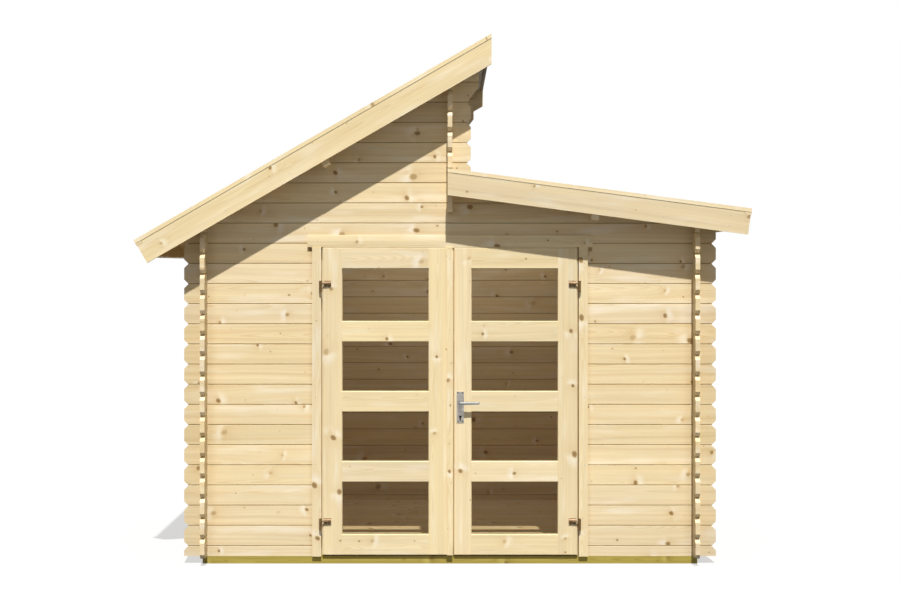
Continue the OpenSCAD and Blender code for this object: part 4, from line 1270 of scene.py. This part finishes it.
class AddStudio(bpy.types.Operator):
    """Put the house on a studio floor with a key light, even light and a camera"""

    bl_idname = "garden_house.add_studio"
    bl_label = "Add studio"

    def execute(self, context):
        studio = context.scene.garden_house_studio
        scene = context.scene
        scene.view_settings.view_transform = "Standard"
        self.add_sky(scene, studio)
        self.add_floor(studio)
        sun = bpy.data.lights.new("key_light", "SUN")
        sun.energy = studio.sun_strength
        sun.angle = SUN_SPREAD
        side, height = studio.sun_side, studio.sun_height
        level = math.cos(height)
        towards = Vector((math.sin(side) * level, -math.cos(side) * level, math.sin(height)))
        put("key_light", sun).rotation_euler = towards.to_track_quat("Z", "Y").to_euler()
        self.add_inner_lamp(studio)
        camera = put("front_camera", bpy.data.cameras.new("front_camera"))
        front = span("front_wall_left", Y)[0]
        camera.location = (0, front - studio.distance, studio.eye)
        camera.rotation_euler = (math.radians(90), 0, 0)
        camera.data.lens = studio.lens
        camera.data.shift_y = studio.shift
        scene.camera = camera
        return {"FINISHED"}

    def add_inner_lamp(self, studio):
        """A wide soft lamp under the roof, which isn't seen itself."""
        lamp = bpy.data.lights.new("inner_lamp", "AREA")
        lamp.shape = "RECTANGLE"
        low, high = span("floor", X)
        near, far = span("floor", Y)
        lamp.size, lamp.size_y = (high - low) * 0.6, (far - near) * 0.4
        lamp.energy = studio.inner_light
        lamp_object = put("inner_lamp", lamp)
        lamp_object.location = (0, far * 0.45, span("lower_purlin", Z)[0] - 0.02)
        lamp_object.visible_camera = False
        lamp_object.visible_glossy = False

    def seen(self, wire):
        """1 where the background is looked at, straight, in a reflection or through glass."""
        rays = wire.node("LightPath").socket.node.outputs
        kinds = ("Is Camera Ray", "Is Glossy Ray", "Is Transmission Ray")
        straight, glossy, through = (Wire(wire.tree, rays[kind]) for kind in kinds)
        return straight.math("MAXIMUM", straight, glossy.math("MAXIMUM", glossy, through))

    def add_sky(self, scene, studio):
        """Even light all around, seen as a white backdrop."""
        scene.world = bpy.data.worlds.new("studio")
        scene.world.use_nodes = True
        tree = scene.world.node_tree
        tree.nodes.clear()
        wire = Wire(tree)
        even = wire.node("Background", None, {"Color": WHITE, "Strength": studio.sky})
        white = wire.node("Background", None, {"Color": WHITE, "Strength": 1.0})
        both = wire.node("MixShader", None, {0: self.seen(wire), 1: even, 2: white})
        tree.links.new(both.socket, tree.nodes.new("ShaderNodeOutputWorld").inputs["Surface"])

    def add_floor(self, studio):
        """A wide floor that fades into the backdrop and keeps the shadow of the house."""
        material, wire, out = new_material("studio_floor")
        seen = self.seen(wire)
        dark = opaque([v * studio.floor_return for v in studio.floor])
        shade = wire.mix(dark, opaque(studio.floor), seen)
        plain = wire.node("BsdfDiffuse", None, {"Color": shade})
        white = wire.node("Emission", None, {"Color": WHITE, "Strength": 1.0})
        both = wire.node("MixShader", None, {0: seen * studio.floor_glow, 1: plain, 2: white})
        wire.tree.links.new(both.socket, out.inputs["Surface"])
        reach, below = 2000, -0.0005
        mesh = bpy.data.meshes.new("studio_floor")
        corners = [(x * reach, y * reach, below) for x, y in ((-1, -1), (1, -1), (1, 1), (-1, 1))]
        mesh.from_pydata(corners, [], [(0, 1, 2, 3)])
        mesh.materials.append(material)
        put("studio_floor", mesh)


class GardenHousePanel(bpy.types.Panel):
    """Steps that finish the garden house, in order"""

    bl_idname = "VIEW3D_PT_garden_house"
    bl_label = "Garden House"
    bl_space_type = "VIEW_3D"
    bl_region_type = "UI"
    bl_category = "Garden House"

    def draw(self, context):
        for step in STEPS:
            self.layout.operator(step.bl_idname)
        for settings in SETTINGS:
            box = self.layout.box()
            values = getattr(context.scene, settings)
            for name in values.bl_rna.properties.keys()[2:]:
                box.prop(values, name)


STEPS = (
    FinishTimber,
    FinishBase,
    FinishFittings,
    FitLock,
    DriveHingeScrews,
    FitLips,
    FitBolts,
    DriveNails,
    LayFelt,
    AddStudio,
)
SETTINGS = {
    "garden_house_timber": TimberSettings,
    "garden_house_roof": RoofSettings,
    "garden_house_fittings": FittingSettings,
    "garden_house_studio": StudioSettings,
}


def register():
    for group in (*SETTINGS.values(), *STEPS, GardenHousePanel):
        bpy.utils.register_class(group)
    for name, group in SETTINGS.items():
        setattr(bpy.types.Scene, name, PointerProperty(type=group))


def unregister():
    for name in SETTINGS:
        delattr(bpy.types.Scene, name)
    for group in reversed((*SETTINGS.values(), *STEPS, GardenHousePanel)):
        bpy.utils.unregister_class(group)


def main():
    register()
    for step in STEPS:
        module, name = step.bl_idname.split(".")
        getattr(getattr(bpy.ops, module), name)()


if __name__ == "__main__":
    main()
